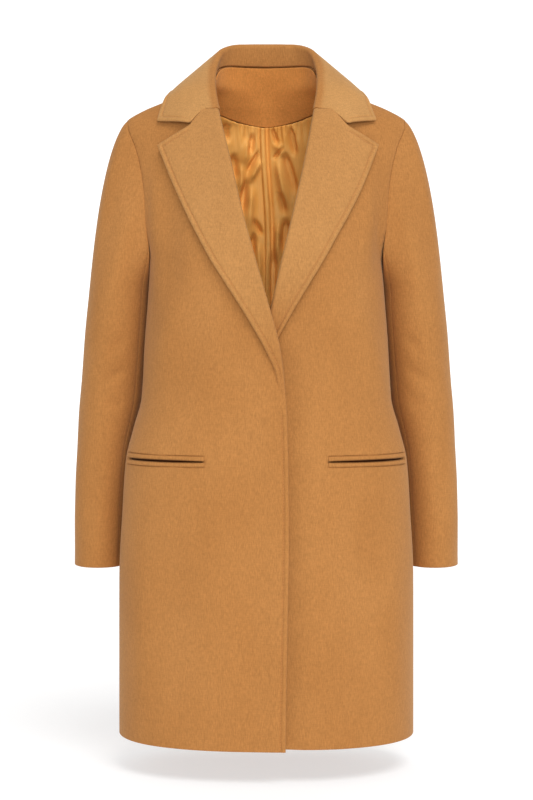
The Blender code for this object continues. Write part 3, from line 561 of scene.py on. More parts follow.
def smooth(knots, values, at):
    """A curve through the knots that never overshoots them."""
    steps = np.diff(knots)
    slopes = np.diff(values) / steps
    tangents = np.zeros_like(values)
    tangents[0] = slopes[0]
    tangents[-1] = slopes[-1]
    for i in range(1, len(values) - 1):
        if slopes[i - 1] * slopes[i] > 0:
            before = 2 * steps[i] + steps[i - 1]
            after = steps[i] + 2 * steps[i - 1]
            tangents[i] = (before + after) / (before / slopes[i - 1] + after / slopes[i])
    at = np.asarray(at, float)
    place = np.clip(np.searchsorted(knots, at) - 1, 0, len(knots) - 2)
    span = steps[place]
    share = (at - knots[place]) / span
    ways = tangents[place] * span, tangents[place + 1] * span
    return hermite(values[place], values[place + 1], *ways, share)


def column(rows, name):
    return np.array([getattr(row, name) for row in rows], float)


def read(rows, name, at):
    """A column of a table, read along its first one."""
    return smooth(column(rows, rows[0]._fields[0]), column(rows, name), at)


def read_all(rows, at):
    return [read(rows, name, at) for name in rows[0]._fields[1:]]


def part_way(low, high, at):
    return np.clip((np.asarray(at, float) - low) / (high - low), 0, 1)


def ease(low, high, at):
    share = part_way(low, high, at)
    return share * share * (3 - 2 * share)


def bell(off, width, power=2):
    return np.exp(-(off / width) ** power)


def mix(first, second, share):
    share = np.asarray(share, float)
    if np.ndim(first) > np.ndim(share):
        share = share[..., None]
    return first + (second - first) * share


def unit(vectors):
    return vectors / np.maximum(np.linalg.norm(vectors, axis=-1, keepdims=True), 1e-12)


def moved(points, way, by):
    return points + way * np.asarray(by)[..., None]


def body(angle, height):
    """The form the panels are cut to: angle 0 is the centre front, a right angle is the wearer's left."""
    angle = np.asarray(angle, float)
    in_front = np.cos(angle) > 0
    width, side, front, back, square_front, square_back = read_all(BODY, height)
    square = np.where(in_front, square_front, square_back)
    depth = np.where(in_front, side - front, back - side)
    x = width * (np.sin(angle) + square * np.sin(3 * angle)) / (1 - square)
    y = side - depth * (np.cos(angle) - square * np.cos(3 * angle)) / (1 - square)
    return np.stack([x, y, np.broadcast_to(height, x.shape)], -1)


def body_normal(angle, height):
    step = 1e-4
    round_way = body(angle + step, height) - body(angle - step, height)
    up_way = body(angle, height + step) - body(angle, height - step)
    return unit(np.cross(round_way, up_way))


def inside_body(angle, height, depth):
    return moved(body(angle, height), body_normal(angle, height), -depth)


def angle_at(distance, height):
    """Angle in front where the form lies this far from the centre line."""
    distance = np.asarray(distance, float)
    width = read(BODY, "half_width", height)
    square = read(BODY, "square_front", height)
    goal = np.clip(np.abs(distance) / width, 0, 1) * (1 - square)
    low = np.zeros_like(goal)
    high = np.full_like(goal, math.pi / 2)
    for _ in range(HALVINGS):
        middle = (low + high) / 2
        short = np.sin(middle) + square * np.sin(3 * middle) < goal
        low = np.where(short, middle, low)
        high = np.where(short, high, middle)
    return np.sign(distance) * (low + high) / 2


def seam_angle(height):
    """Half a seam's gap as an angle at the side line."""
    step = 1e-3
    right_angle = np.full_like(np.asarray(height, float), math.pi / 2)
    along = body(right_angle - step, height) - body(right_angle, height)
    return SEAM / 2 * step / np.linalg.norm(along, axis=-1)


def armhole(turn):
    """Angle and height of the armhole: turn 0 is the underarm, a right angle is the front."""
    scoop = np.where(np.sin(turn) > 0, ARMHOLE_FRONT_SCOOP, ARMHOLE_BACK_SCOOP)
    bend = np.sign(np.sin(turn)) * np.abs(np.sin(turn)) ** ARMHOLE_ROUND
    return math.pi / 2 - scoop * bend, ARMHOLE_MIDDLE - ARMHOLE_HALF * np.cos(turn)


def edge_distance(side, height):
    return read(FRONT_EDGE, HAND[side], height)


def roll_distance(side, height):
    return edge_distance(side, height) + ROLL_RADIUS


def turned_back(side, height):
    """How far the front stops short of the roll line, for the cloth that turns there."""
    foot = NOTCH[side].foot
    return (ROLL_RADIUS + 3 * SEAM) * ease(foot + TURN_BACK_FROM, foot + TURN_BACK_TO, height)


def inset(distance, height):
    """How far the left front lies in, under the right front."""
    deep = UNDER_DEPTH + UNDER_LAPEL_DEPTH * ease(*UNDER_LAPEL_FADE, height)
    deep = deep * (1 - ease(*UNDER_FADE, height))
    return deep * (1 - ease(*UNDER_REACH, distance))


def front_point(side, angle, height, out):
    """A point of a front's outside, moved out along its normal. The angle is to the front's own side."""
    points = body(side * angle, height)
    normals = body_normal(side * angle, height)
    if side == LEFT:
        out = out - inset(points[..., 0], height)
    return moved(points, normals, out), normals


def neckline(share):
    """Angle and height of the neck seam, from the centre back (share 0) to the gorge (share 1)."""
    back_share = part_way(0, COLLAR_NECK_POINT_SHARE, share)
    front_share = part_way(COLLAR_NECK_POINT_SHARE, 1, share)
    height = mix(BACK_NECK, NECK_POINT, back_share ** NECK_CURVE)
    height = np.where(front_share > 0, mix(NECK_POINT, GORGE, front_share), height)
    angle = math.pi - math.pi / 2 * back_share
    front_angle = angle_at(mix(NECK_HALF_WIDTH, roll_distance(LEFT, GORGE), front_share), height)
    return np.where(front_share > 0, front_angle, angle), height


def gorge_line(side, share):
    """Distance from the centre and height along the gorge seam."""
    notch = NOTCH[side]
    across, down = read_all(GORGE_LINE, share)
    return mix(roll_distance(side, GORGE), notch.corner, across), mix(GORGE, notch.corner_height, down)


def lapel_patch(side, across, along):
    """Distance from the centre and height of a lapel's point."""
    notch = NOTCH[side]
    near_height = mix(notch.foot, GORGE, along)
    near = roll_distance(side, near_height)
    far_height = mix(notch.foot, notch.lapel_tip_height, along)
    far = read(LAPEL_EDGE, HAND[side], far_height)
    end = read(LAPEL_EDGE, HAND[side], notch.lapel_tip_height)
    far = far + (notch.lapel_tip - end) * along ** TIP_PULL
    far = np.maximum(far, near + LAPEL_LEAST_WIDTH)
    distance = mix(near, far, across)
    height = mix(near_height, far_height, across)
    on_tip = part_way(NOTCH_SHARE, 1, across)
    gorge_distance, gorge_height = gorge_line(side, part_way(0, NOTCH_SHARE, across))
    top_distance = mix(gorge_distance, notch.lapel_tip, on_tip)
    top_height = mix(gorge_height, notch.lapel_tip_height, on_tip)
    pull = along ** GORGE_PULL
    distance = distance + pull * (top_distance - mix(roll_distance(side, GORGE), notch.lapel_tip, across))
    height = height + pull * (top_height - mix(GORGE, notch.lapel_tip_height, across))
    return distance, height - GORGE_GAP * pull


def lapel_rise(side, flat, along):
    """The lapel's edge stands off the front, and the foot of the upper one sinks into it."""
    lift = LAPEL_LIFT * ease(LAPEL_LIFT_FROM, 1, flat)
    if side == LEFT:
        return lift
    lift = lift * ease(*LAPEL_LIFT_FADE, along)
    return lift - LAPEL_SINK * (1 - ease(0, LAPEL_SINK_TO, along))


def roll_point(side, along):
    height = mix(NOTCH[side].foot, GORGE, along)
    return front_point(side, angle_at(roll_distance(side, height), height), height, 0 * along)[0]


def lapel(side):
    def place(across, along, depth):
        """The first share of the way across turns round the roll line, the rest lies on the front."""
        flat = part_way(LAPEL_TURN_SHARE, 1, across)
        turn = math.pi * (1 - part_way(0, LAPEL_TURN_SHARE, across))
        distance, height = lapel_patch(side, flat, along)
        middle = (TURN_AT_ROLL - WALL / 2) / 2
        radius = (TURN_AT_ROLL + WALL / 2) / 2
        layer = TURNED_WALL / 2 - depth
        on_front = mix(TURN_AT_ROLL, TURN_AT_EDGE, flat)
        out = np.where(flat > 0, on_front + layer, middle + (radius + layer) * np.cos(turn))
        out = out + lapel_rise(side, flat, along)
        points, normals = front_point(side, angle_at(distance, height), height, out)
        roll_way = unit(roll_point(side, along + WAY_STEP) - roll_point(side, along - WAY_STEP))
        edge_way = unit(np.cross(roll_way, normals)) * -side
        least = LAPEL_FOOT_REACH if side == RIGHT else 1
        reach = (radius + layer) * mix(least, 1, ease(0, LAPEL_SINK_TO, along))
        return moved(points, edge_way, reach * np.sin(turn))
    return place


def collar_line(part, at):
    """A line of the collar, read from one gorge to the other."""
    shares = column(COLLAR, "share")
    knots = np.concatenate([-shares[:0:-1], shares])
    line = []
    for axis, other_side in (("x", -1), ("y", 1), ("z", 1)):
        values = column(COLLAR, f"{part}_{axis}")
        line.append(smooth(knots, np.concatenate([other_side * values[:0:-1], values]), at))
    return np.stack(line, -1)


def collar_end(side, fall, out):
    """The collar's end on the front: along the gorge to the notch, then to the tip."""
    notch = NOTCH[side]
    on_tip = part_way(NOTCH_SHARE, 1, fall)
    distance, height = gorge_line(side, part_way(0, NOTCH_SHARE, fall))
    distance = mix(distance, notch.collar_tip, on_tip)
    height = mix(height, notch.collar_tip_height, on_tip) + GORGE_GAP
    return front_point(side, angle_at(distance, height), height, out)[0]


def gorge_end(hand):
    """Where the roll ends at the gorge: a point of the front's edge, its normal and the way to the roll."""
    top = np.full_like(hand, GORGE, dtype=float)
    below = top - WAY_STEP
    angle = angle_at(roll_distance(LEFT, top), top)
    base = body(hand * angle, top)
    normals = body_normal(hand * angle, top)
    roll_way = unit(base - body(hand * angle_at(roll_distance(LEFT, below), below), below))
    to_roll = unit(np.cross(roll_way, normals)) * -hand[..., None]
    return base + roll_way * 2 * GORGE_GAP + to_roll * GORGE_GAP, normals, to_roll


def collar_roll(at, hand, mid, ended):
    """Neck seam, middle of the roll and its ways up and out, from one gorge (-1) to the other (1)."""
    share = np.abs(at)
    roll = collar_line("roll", at)
    way = unit(collar_line("roll", at + WAY_STEP) - collar_line("roll", at - WAY_STEP))
    angle, height = neckline(share)
    normals = body_normal(hand * angle, height)
    seam_way = unit(np.cross(way, normals))
    neck = body(hand * angle, height) - normals * WALL / 2 + seam_way * NECK_LIFT
    up = unit(roll - neck) + unit(roll - mid)
    up = unit(up - way * np.sum(up * way, -1, keepdims=True))
    out = np.cross(way, up)
    out = out * np.sign(np.sum(out * (mid - neck), -1, keepdims=True))
    centre = roll - up * ROLL_RADIUS
    base, end_out, end_up = gorge_end(hand)
    neck = mix(neck, base - end_out * WALL / 2, ended)
    centre = mix(centre, base + end_out * (TURN_AT_ROLL - WALL / 2) / 2 + end_up * SHORT_STAND, ended)
    up = unit(mix(up, end_up, ended))
    out = unit(mix(out, end_out, ended))
    short_neck = centre - out * ROLL_RADIUS - up * SHORT_STAND
    return mix(neck, short_neck, ease(*SHORT_STAND_FADE, share)), centre, up, out


def collar_fall(fall, hand, top, mid, edge, ended):
    """The part that is turned over: bowed behind, and lying on the fronts at its ends."""
    bend = 2 * mid - (top + edge) / 2
    bowed = mix(mix(top, bend, fall), mix(bend, edge, fall), fall)
    lift = mix(TURN_AT_ROLL, TURN_AT_EDGE + COLLAR_TIP_LIFT, fall)
    on_right, on_left = (collar_end(side, fall, lift) for side in (RIGHT, LEFT))
    return mix(bowed, np.where((hand == RIGHT)[..., None], on_right, on_left), ended)


def collar_middle(across, along):
    """Middle surface of the collar: across runs neck seam, roll, outer edge; along runs right to left."""
    at = 2 * along - 1
    hand = np.where(at < 0, RIGHT, LEFT)
    ended = part_way(COLLAR_END_FROM, 1, np.abs(at)) ** 2
    mid = collar_line("mid", at)
    neck, centre, up, out = collar_roll(at, hand, mid, ended)
    stand = mix(neck, centre - out * ROLL_RADIUS, part_way(0, COLLAR_STAND_SHARE, across))
    swing = math.pi * part_way(COLLAR_STAND_SHARE, COLLAR_FALL_SHARE, across)[..., None]
    rolled = centre - out * ROLL_RADIUS * np.cos(swing) + up * ROLL_RADIUS * np.sin(swing)
    fall = part_way(COLLAR_FALL_SHARE, 1, across)
    fallen = collar_fall(fall, hand, centre + out * ROLL_RADIUS, mid, collar_line("edge", at), ended)
    points = np.where((across < COLLAR_STAND_SHARE)[..., None], stand, rolled)
    return np.where((across > COLLAR_FALL_SHARE)[..., None], fallen, points)


def sleeve_ring(turn, height):
    """The sleeve below the cap: turn 0 faces the body, a right angle is the front."""
    x, y, across, deep = read_all(SLEEVE, height)
    x = x - across * np.cos(turn)
    y = y - deep * np.sin(turn)
    return np.stack([x, y, np.broadcast_to(height, x.shape)], -1)


def sleeve_surface(turn, along):
    """The wearer's left sleeve from the armhole (along 0) to the cuff (along 1)."""
    top = (1 - np.cos(turn)) / 2
    lean = mix(CAP_LEAN_BOTTOM, CAP_LEAN_TOP, top)
    way = unit(np.stack([np.sin(lean), -CAP_FORWARD * np.sin(turn), -np.cos(lean)], -1))
    start = body(*armhole(turn)) + way * ARMHOLE_GAP
    under = 1 - ease(*UNDERARM_OUT, top)
    start[..., 0] = start[..., 0] + (ARMHOLE_GAP + WALL / 2) * under
    cap_end = np.full_like(turn, CAP_END)
    end = sleeve_ring(turn, cap_end)
    below = sleeve_ring(turn, cap_end - CAP_SLOPE_STEP)
    length = np.linalg.norm(end - start, axis=-1, keepdims=True)
    pull = mix(CAP_PULL_BOTTOM, CAP_PULL_TOP, top)[..., None]
    leave = way * length * pull * CAP_LEAVE
    arrive = unit(below - end) * length * pull
    cap = hermite(start, end, leave, arrive, part_way(0, CAP_ROWS, along)[..., None])
    lower = sleeve_ring(turn, mix(CAP_END, CUFF, part_way(CAP_ROWS, 1, along)))
    return np.where((along < CAP_ROWS)[..., None], cap, lower)


def sleeve_piece(side, first, last):
    def place(across, along, depth):
        gap = SEAM / 2 / SLEEVE_RADIUS
        turn = mix(first + gap, last - gap, across)
        round_way = sleeve_surface(turn + SLEEVE_STEP, along) - sleeve_surface(turn - SLEEVE_STEP, along)
        down_way = sleeve_surface(turn, np.minimum(along + SLEEVE_STEP, 1))
        down_way = down_way - sleeve_surface(turn, np.maximum(along - SLEEVE_STEP, 0))
        normals = unit(np.cross(down_way, round_way))
        at_seam = body_normal(*armhole(turn))
        at_ring = np.stack([-np.cos(turn), -np.sin(turn), 0 * turn], -1)
        top = (1 - np.cos(turn)) / 2
        upper = ease(*UPPER_CAP, top) * (1 - ease(0, UPPER_CAP_ROWS, along))
        under = (1 - ease(*UNDER_CAP, top)) * (1 - ease(UNDER_CAP_ROWS, CAP_ROWS, along))
        normals = unit(mix(mix(normals, at_ring, under), at_seam, upper))
        return moved(sleeve_surface(turn, along), normals, -depth) * np.array([side, 1, 1])
    return place


def welt(side, low, high):
    def place(across, along, depth):
        height = mix(low, high, along)
        distance = mix(POCKET_FROM, POCKET_TO, across)
        out = WELT_CLEAR + WELT_WALL - depth
        return front_point(side, angle_at(distance, height), height, out)[0]
    return place


def facing_foot(far):
    share = np.sin(math.pi / 2 * far) ** FACING_CURVE
    return mix(FACING_DEPTH_AT_CENTRE, FACING_DEPTH_AT_SHOULDER, share)


def back_neck_facing(across, along, depth):
    spread = 2 * across - 1
    far = np.abs(spread)
    top = mix(BACK_NECK, NECK_POINT, far ** NECK_CURVE)
    height = mix(facing_foot(far), top, along)
    angle = math.pi - spread * FACING_SPREAD
    inside = WALL + FACING_CLEAR + FACING_END_CLEAR * ease(*FACING_END, far) + depth
    return inside_body(angle, height, inside)


def scooped(height, scoop):
    """How far the armhole cuts in from the side line, as an angle, less what is tucked into the sleeve."""
    turn = np.arccos(np.clip((ARMHOLE_MIDDLE - height) / ARMHOLE_HALF, -1, 1))
    tuck = ARMHOLE_TUCK * (1 - ease(0, ARMHOLE_TUCK_TO, (1 - np.cos(turn)) / 2))
    return np.maximum(scoop * np.sin(turn) ** ARMHOLE_ROUND - tuck, 0)


def near_angle(side, height):
    """Angle of the front edge, and above the gorge of the neck seam."""
    edge = edge_distance(side, height) + turned_back(side, height)
    start = edge_distance(side, GORGE) + turned_back(side, GORGE)
    neck = mix(start, NECK_HALF_WIDTH, part_way(GORGE, NECK_POINT, height))
    return angle_at(np.where(height < GORGE, edge, neck), height)


def front_edges(side, height):
    far = math.pi / 2 - scooped(height, ARMHOLE_FRONT_SCOOP) - seam_angle(height)
    return near_angle(side, height), far


def front_slice(side):
    def place(across, along, depth):
        height = mix(HEM, FRONT_TOP, along)
        angle = mix(*front_edges(side, height), across)
        if side == LEFT:
            height = height + UNDER_HEM_LIFT * (1 - across) ** 2 * (1 - ease(HEM, UNDER_LIFT_TO, height))
        return front_point(side, angle, height, -depth)[0]
    return place


def back_half(height):
    """Half the angle that the back spans at a height."""
    half = math.pi / 2 - scooped(height, ARMHOLE_BACK_SCOOP) - seam_angle(height)
    return half * part_way(BACK_NECK, NECK_POINT, height) ** (1 / NECK_CURVE)


def back_slice(across, along, depth):
    height = mix(HEM, BACK_TOP, along)
    angle = math.pi + (1 - 2 * across) * back_half(height)
    return inside_body(angle, height, depth)


def merged(lists, least):
    """The values of some lists in order, without any that lies too close to the one before."""
    values = np.sort(np.concatenate(lists))
    return values[np.concatenate([[True], np.diff(values) > least])]


def panel_along(top, more=()):
    """Rows of a panel's slices: even, and close together at the hem and the armhole's ends."""
    corner = np.array(CORNER_AT)
    heights = merged([
        np.arange(HEM + TURNED_AT[-1] + STEP, top, STEP), HEM + np.array(TURNED_AT), UNDERARM + corner,
        SHOULDER_POINT - corner, [top], *more], LEAST_ROW)
    return (heights - HEM) / (top - HEM)


def lengths(points):
    """Length run along each line of points."""
    steps = np.linalg.norm(np.diff(points, axis=1), axis=2)
    return np.concatenate([np.zeros((len(points), 1)), np.cumsum(steps, 1)], 1)


def spaced(total, start, stop, step):
    """Distances along lines of these lengths: those given from both ends, and even steps between."""
    start = np.asarray(start, float)
    stop = np.asarray(stop, float)
    reach = start[-1] + stop[-1]
    count = max(2, math.ceil((total.max() - reach) / step))
    shrink = np.minimum(1, EDGE_SHARE * total / max(reach, 1e-9))[:, None]
    first = start * shrink
    last = total[:, None] - stop[::-1] * shrink
    share = np.linspace(0, 1, count + 1)[1:-1]
    middle = first[:, -1:] + (last[:, :1] - first[:, -1:]) * share
    return np.concatenate([first, middle, last], 1)


def laid(place, across, along, depth):
    points = place(across.ravel(), along.ravel(), np.full(across.size, depth))
    return points.reshape(*across.shape, 3)


def grid_normals(points):
    return unit(np.cross(np.gradient(points, axis=1), np.gradient(points, axis=0)))


def spaced_rows(place, start, stop, step, across=0.5):
    """Rows at the given distances from both ends of one line along a piece."""
    fine = np.linspace(0, 1, FINE_LINES)[None]
    run = lengths(laid(place, np.full_like(fine, across), fine, 0.0))
    return np.interp(spaced(run[:, -1], start, stop, step)[0], run[0], fine[0])


def even_grid(place, start, stop, step, along, lines=()):
    """Across and along values whose points lie at the given distances from the edges, and on the lines."""
    fine = np.linspace(0, 1, FINE_LINES)
    run = lengths(laid(place, *np.meshgrid(fine, along), 0.0))
    cuts = [np.zeros(len(along))]
    cuts += [np.array([np.interp(share, fine, row) for share, row in zip(line, run)]) for line in lines]
    cuts += [run[:, -1]]
    at = []
    for k, (low, high) in enumerate(zip(cuts[:-1], cuts[1:])):
        span = spaced(high - low, start if k == 0 else [0], stop if k == len(lines) else [0], step)
        at.append(low[:, None] + (span if k == len(lines) else span[:, :-1]))
    across = np.stack([np.interp(row, known, fine) for row, known in zip(np.concatenate(at, 1), run)])
    return across, np.broadcast_to(along[:, None], across.shape)


def lay(place, across, along, thickness):
    points = laid(place, across, along, 0.0)
    inside = laid(place, across, along, thickness)
    normals = grid_normals(points)
    if np.sum(normals * (points - inside)) < 0:
        normals = -normals
    near = lengths(points)
    foot = lengths(points.swapaxes(0, 1)).T
    return Lay(points, inside, normals, near, near[:, -1:] - near, foot, foot[-1:] - foot)


def softened(surface, thickness, passes):
    """A wall on a surface whose sharp bends are eased, read from a fine grid of its points."""
    fine = np.linspace(0, 1, FINE_LINES)
    across, along = np.meshgrid(fine, fine)
    points = surface(across.ravel(), along.ravel()).reshape(FINE_LINES, FINE_LINES, 3)
    for axis, count in zip((1, 0), passes):
        line = points.swapaxes(0, axis)
        for _ in range(count):
            line[1:-1] = (line[:-2] + 2 * line[1:-1] + line[2:]) / 4
    normals = grid_normals(points)

    def between(grid, across, along):
        x = across * (FINE_LINES - 1)
        y = along * (FINE_LINES - 1)
        left = np.minimum(x.astype(int), FINE_LINES - 2)
        low = np.minimum(y.astype(int), FINE_LINES - 2)
        lower = mix(grid[low, left], grid[low, left + 1], x - left)
        upper = mix(grid[low + 1, left], grid[low + 1, left + 1], x - left)
        return mix(lower, upper, y - low)

    def place(across, along, depth):
        out = unit(between(normals, across, along))
        return moved(between(points, across, along), out, depth - thickness / 2)
    return place


def turned(gap, radius):
    """How far a face drops towards an edge that is folded round."""
    share = 1 - part_way(0, radius, gap)
    return radius * (1 - np.sqrt(1 - share ** 2))


def folded_edge(thickness):
    return Edge(ROUND_SHARE * thickness, 0.0)


def finished(gap):
    """The full rim along a topstitched edge, and the groove that the stitches draw in."""
    rim = RIM_HEIGHT * bell(gap - RIM_AT, RIM_WIDTH)
    return rim - STITCH_SINK * bell(gap - STITCH_IN, STITCH_SINK_WIDTH)


def creased(across, up, rows):
    """Sum of soft ridges and troughs, each fading out towards its ends."""
    total = np.zeros_like(across)
    for x1, z1, x2, z2, half_width, height in rows:
        run = math.hypot(x2 - x1, z2 - z1)
        share = ((across - x1) * (x2 - x1) + (up - z1) * (z2 - z1)) / run ** 2
        off = ((across - x1) * (z2 - z1) - (up - z1) * (x2 - x1)) / run
        fade = ease(0, CREASE_IN, share) * (1 - ease(CREASE_OUT, 1, share))
        total = total + height * fade * bell(off, half_width)
    return total


def add_object(name, data):
    made_object = bpy.data.objects.new(name, data)
    bpy.context.scene.collection.objects.link(made_object)
    return made_object


def add_mesh(name, verts, faces, finish):
    mesh = bpy.data.meshes.new(name)
    mesh.from_pydata(verts, [], faces)
    mesh.shade_smooth()
    mesh.materials.append(finish)
    return add_object(name, mesh)


def cell_faces(numbers):
    corners = [numbers[:-1, :-1], numbers[:-1, 1:], numbers[1:, 1:], numbers[1:, :-1]]
    return np.stack(corners, -1).reshape(-1, 4)


def closed_wall(name, outside, inside, finish):
    """A thin closed shell from the grids of its two faces."""
    numbers = np.arange(outside.shape[0] * outside.shape[1]).reshape(outside.shape[:2])
    other = numbers + numbers.size
    ring = np.concatenate([numbers[0, :-1], numbers[:-1, -1], numbers[-1, :0:-1], numbers[:0:-1, 0]])
    rim = np.stack([np.roll(ring, -1), ring, ring + numbers.size, np.roll(ring, -1) + numbers.size], -1)
    faces = np.concatenate([cell_faces(numbers), cell_faces(other)[:, ::-1], rim])
    verts = np.concatenate([outside.reshape(-1, 3), inside.reshape(-1, 3)])
    a, b, c, d = (verts[faces[:, k]] for k in range(4))
    volume = np.sum(a * np.cross(b, c)) + np.sum(a * np.cross(c, d))
    if volume < 0:
        faces = faces[:, ::-1]
    piece = add_mesh(name, verts, faces, finish)
    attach(piece, "root")
    return piece


def cloth(node, grid, edges, finish, both=0.0, outer=0.0, light=0.0):
    """The piece that stands for a node: both moves its two faces out, outer its outside alone, and light is
    its share of painted light and shade.
    """
    drop = np.zeros(grid.near.shape)
    dip = np.zeros(grid.near.shape)
    for name, edge in edges.items():
        gap = getattr(grid, name)
        drop = np.maximum(drop, turned(gap, edge.radius))
        dip = np.maximum(dip, edge.dip * bell(gap, SEAM_SPREAD))
    both = np.broadcast_to(both, drop.shape)
    outside = moved(grid.points, grid.normals, both + outer - drop - dip)
    inside = moved(grid.inside, grid.normals, both + drop)
    piece = closed_wall("cloth_" + node, outside, inside, finish)
    lightness = piece.data.attributes.new("light", "FLOAT", "POINT")
    lightness.data.foreach_set("value", np.tile(np.broadcast_to(light, drop.shape).ravel(), 2))
    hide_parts(node)
    return outside


def stitch_line(outside, grid, edge, keep=slice(None)):
    """Points and normals of the stitches along an edge of a piece, where they are kept."""
    rows = [outside, grid.normals, getattr(grid, edge)]
    if edge in ("foot", "top"):
        rows = [values.swapaxes(0, 1) for values in rows]
    gap = rows[-1]
    order = slice(None) if gap[0, 0] < gap[0, -1] else slice(None, None, -1)
    found = []
    for points, ups, known in zip(*rows):
        found.append([np.interp(STITCH_IN, known[order], values[order]) for values in (*points.T, *ups.T)])
    found = np.array(found)[keep]
    return found[:, :3], found[:, 3:]


def tip_stitched(grid, at_tip, row):
    """Where the stitches run on round a tip, along the first or the last row of a piece."""
    return (at_tip[row] > 0.5) & (grid.far[row] > STITCH_IN)


def along_line(values, run, at):
    return np.stack([np.interp(at, run, part) for part in values.T], -1)


def stitches(name, lines, finish):
    """One mesh of all the stitches along some lines of points and normals."""
    made_verts = []
    for points, ups in lines:
        run = lengths(points[None])[0]
        at = np.arange(STITCH_PITCH / 2, run[-1] - STITCH_PITCH / 2, STITCH_PITCH)
        middle = along_line(points, run, at)
        up = unit(along_line(ups, run, at))
        way = unit(along_line(points, run, at + STITCH_LENGTH / 2) - middle)
        side = np.cross(up, way)
        rings = []
        for ring in STITCH_RINGS:
            centre = middle + way * ring.along * STITCH_LENGTH / 2 + up * ring.lift
            for turn in np.arange(STITCH_SIDES) * 2 * math.pi / STITCH_SIDES:
                spoke = side * math.cos(turn) + up * math.sin(turn)
                rings.append(centre + spoke * STITCH_RADIUS * ring.radius)
        made_verts.append(np.stack(rings, 1))
    verts = np.concatenate(made_verts)
    one = np.arange(verts.shape[1]).reshape(len(STITCH_RINGS), STITCH_SIDES)
    sides = cell_faces(np.concatenate([one, one[:, :1]], 1))
    faces = []
    for k in range(len(verts)):
        first = k * verts.shape[1]
        faces.extend((sides + first).tolist())
        faces.append((one[0, ::-1] + first).tolist())
        faces.append((one[-1] + first).tolist())
    piece = add_mesh(name, verts.reshape(-1, 3), faces, finish)
    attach(piece, "root")
    return piece


def shader_nodes(name):
    made_material = bpy.data.materials.new(name)
    made_material.use_nodes = True
    tree = made_material.node_tree
    return made_material, tree, tree.nodes["Principled BSDF"]


def set_inputs(node, values):
    for name, value in values.items():
        node.inputs[name].default_value = value


def noise(tree, scale, detail, stretch):
    """A noise in metres, stretched along the axes."""
    place = tree.nodes.new("ShaderNodeTexCoord")
    mapping = tree.nodes.new("ShaderNodeMapping")
    mapping.inputs["Scale"].default_value = stretch
    texture = tree.nodes.new("ShaderNodeTexNoise")
    set_inputs(texture, {"Scale": scale, "Detail": detail})
    tree.links.new(place.outputs["Object"], mapping.inputs["Vector"])
    tree.links.new(mapping.outputs["Vector"], texture.inputs["Vector"])
    return texture.outputs["Fac"]


def ramp(tree, value, stops):
    node = tree.nodes.new("ShaderNodeValToRGB")
    for element, (position, colour) in zip(node.color_ramp.elements, (stops[0], stops[-1])):
        element.position = position
        element.color = (*colour, 1)
    for position, colour in stops[1:-1]:
        node.color_ramp.elements.new(position).color = (*colour, 1)
    tree.links.new(value, node.inputs["Fac"])
    return node.outputs["Color"]


def multiplied(tree, colour, tint, share=None):
    """A colour times a tint, in full or by the share that a socket gives."""
    node = tree.nodes.new("ShaderNodeMix")
    node.data_type = "RGBA"
    node.blend_type = "MULTIPLY"
    node.inputs["Factor"].default_value = 1.0
    tree.links.new(colour, node.inputs["A"])
    if isinstance(tint, tuple):
        node.inputs["B"].default_value = (*tint, 1)
    else:
        tree.links.new(tint, node.inputs["B"])
    if share is not None:
        tree.links.new(share, node.inputs["Factor"])
    return node.outputs["Result"]


def shaded(tree, colour, value, low, high):
    """A colour made darker or lighter by a noise, between the two shares."""
    tint = ramp(tree, value, [(NOISE_LOW, (low, low, low)), (NOISE_HIGH, (high, high, high))])
    return multiplied(tree, colour, tint)


def bump(tree, height, strength, distance, before=None):
    node = tree.nodes.new("ShaderNodeBump")
    set_inputs(node, {"Strength": strength, "Distance": distance})
    tree.links.new(height, node.inputs["Height"])
    if before is not None:
        tree.links.new(before, node.inputs["Normal"])
    return node.outputs["Normal"]


def wool_finish(name, tint):
    """Brushed wool: a short nap that runs down the cloth, with faint clouds, and a tint of painted light
    and shade mixed in as far as the light attribute says.
    """
    made_material, tree, shader = shader_nodes(name)
    clouds = noise(tree, scale=11, detail=2, stretch=(1, 1, 0.6))
    felt = noise(tree, scale=150, detail=3, stretch=(1, 1, 0.5))
    nap = noise(tree, scale=700, detail=3, stretch=(1, 1, 0.25))
    weft = noise(tree, scale=560, detail=2, stretch=(0.25, 0.25, 1.3))
    colour = ramp(tree, clouds, [(NOISE_LOW, WOOL_DARK), (NOISE_MIDDLE, WOOL), (NOISE_HIGH, WOOL_LIGHT)])
    colour = shaded(tree, colour, felt, low=0.975, high=1.02)
    colour = shaded(tree, colour, nap, low=0.87, high=1.10)
    colour = shaded(tree, colour, weft, low=0.94, high=1.05)
    light = tree.nodes.new("ShaderNodeAttribute")
    light.attribute_name = "light"
    colour = multiplied(tree, colour, tint, light.outputs["Fac"])
    tree.links.new(colour, shader.inputs["Base Color"])
    raised = bump(tree, nap, strength=0.50, distance=0.0007)
    raised = bump(tree, felt, strength=0.12, distance=0.0008, before=raised)
    tree.links.new(raised, shader.inputs["Normal"])
    set_inputs(shader, {
        "Roughness": 0.92, "Specular IOR Level": 0.10, "Sheen Weight": 0.16, "Sheen Roughness": 0.45,
        "Sheen Tint": (1.0, 0.82, 0.56, 1)})
    return made_material


def satin_finish(name):
    """Lining satin: smooth, with a soft gloss."""
    made_material, tree, shader = shader_nodes(name)
    threads = noise(tree, scale=900, detail=2, stretch=(1, 1, 0.06))
    clouds = noise(tree, scale=30, detail=2, stretch=(1, 1, 0.5))
    colour = ramp(tree, clouds, [(NOISE_LOW, SATIN_DARK), (NOISE_HIGH, SATIN)])
    colour = shaded(tree, colour, threads, low=0.95, high=1.04)
    tree.links.new(colour, shader.inputs["Base Color"])
    tree.links.new(bump(tree, threads, strength=0.12, distance=0.0003), shader.inputs["Normal"])
    set_inputs(shader, {
        "Roughness": 0.40, "Specular IOR Level": 0.26, "Specular Tint": (1.0, 0.80, 0.48, 1)})
    return made_material


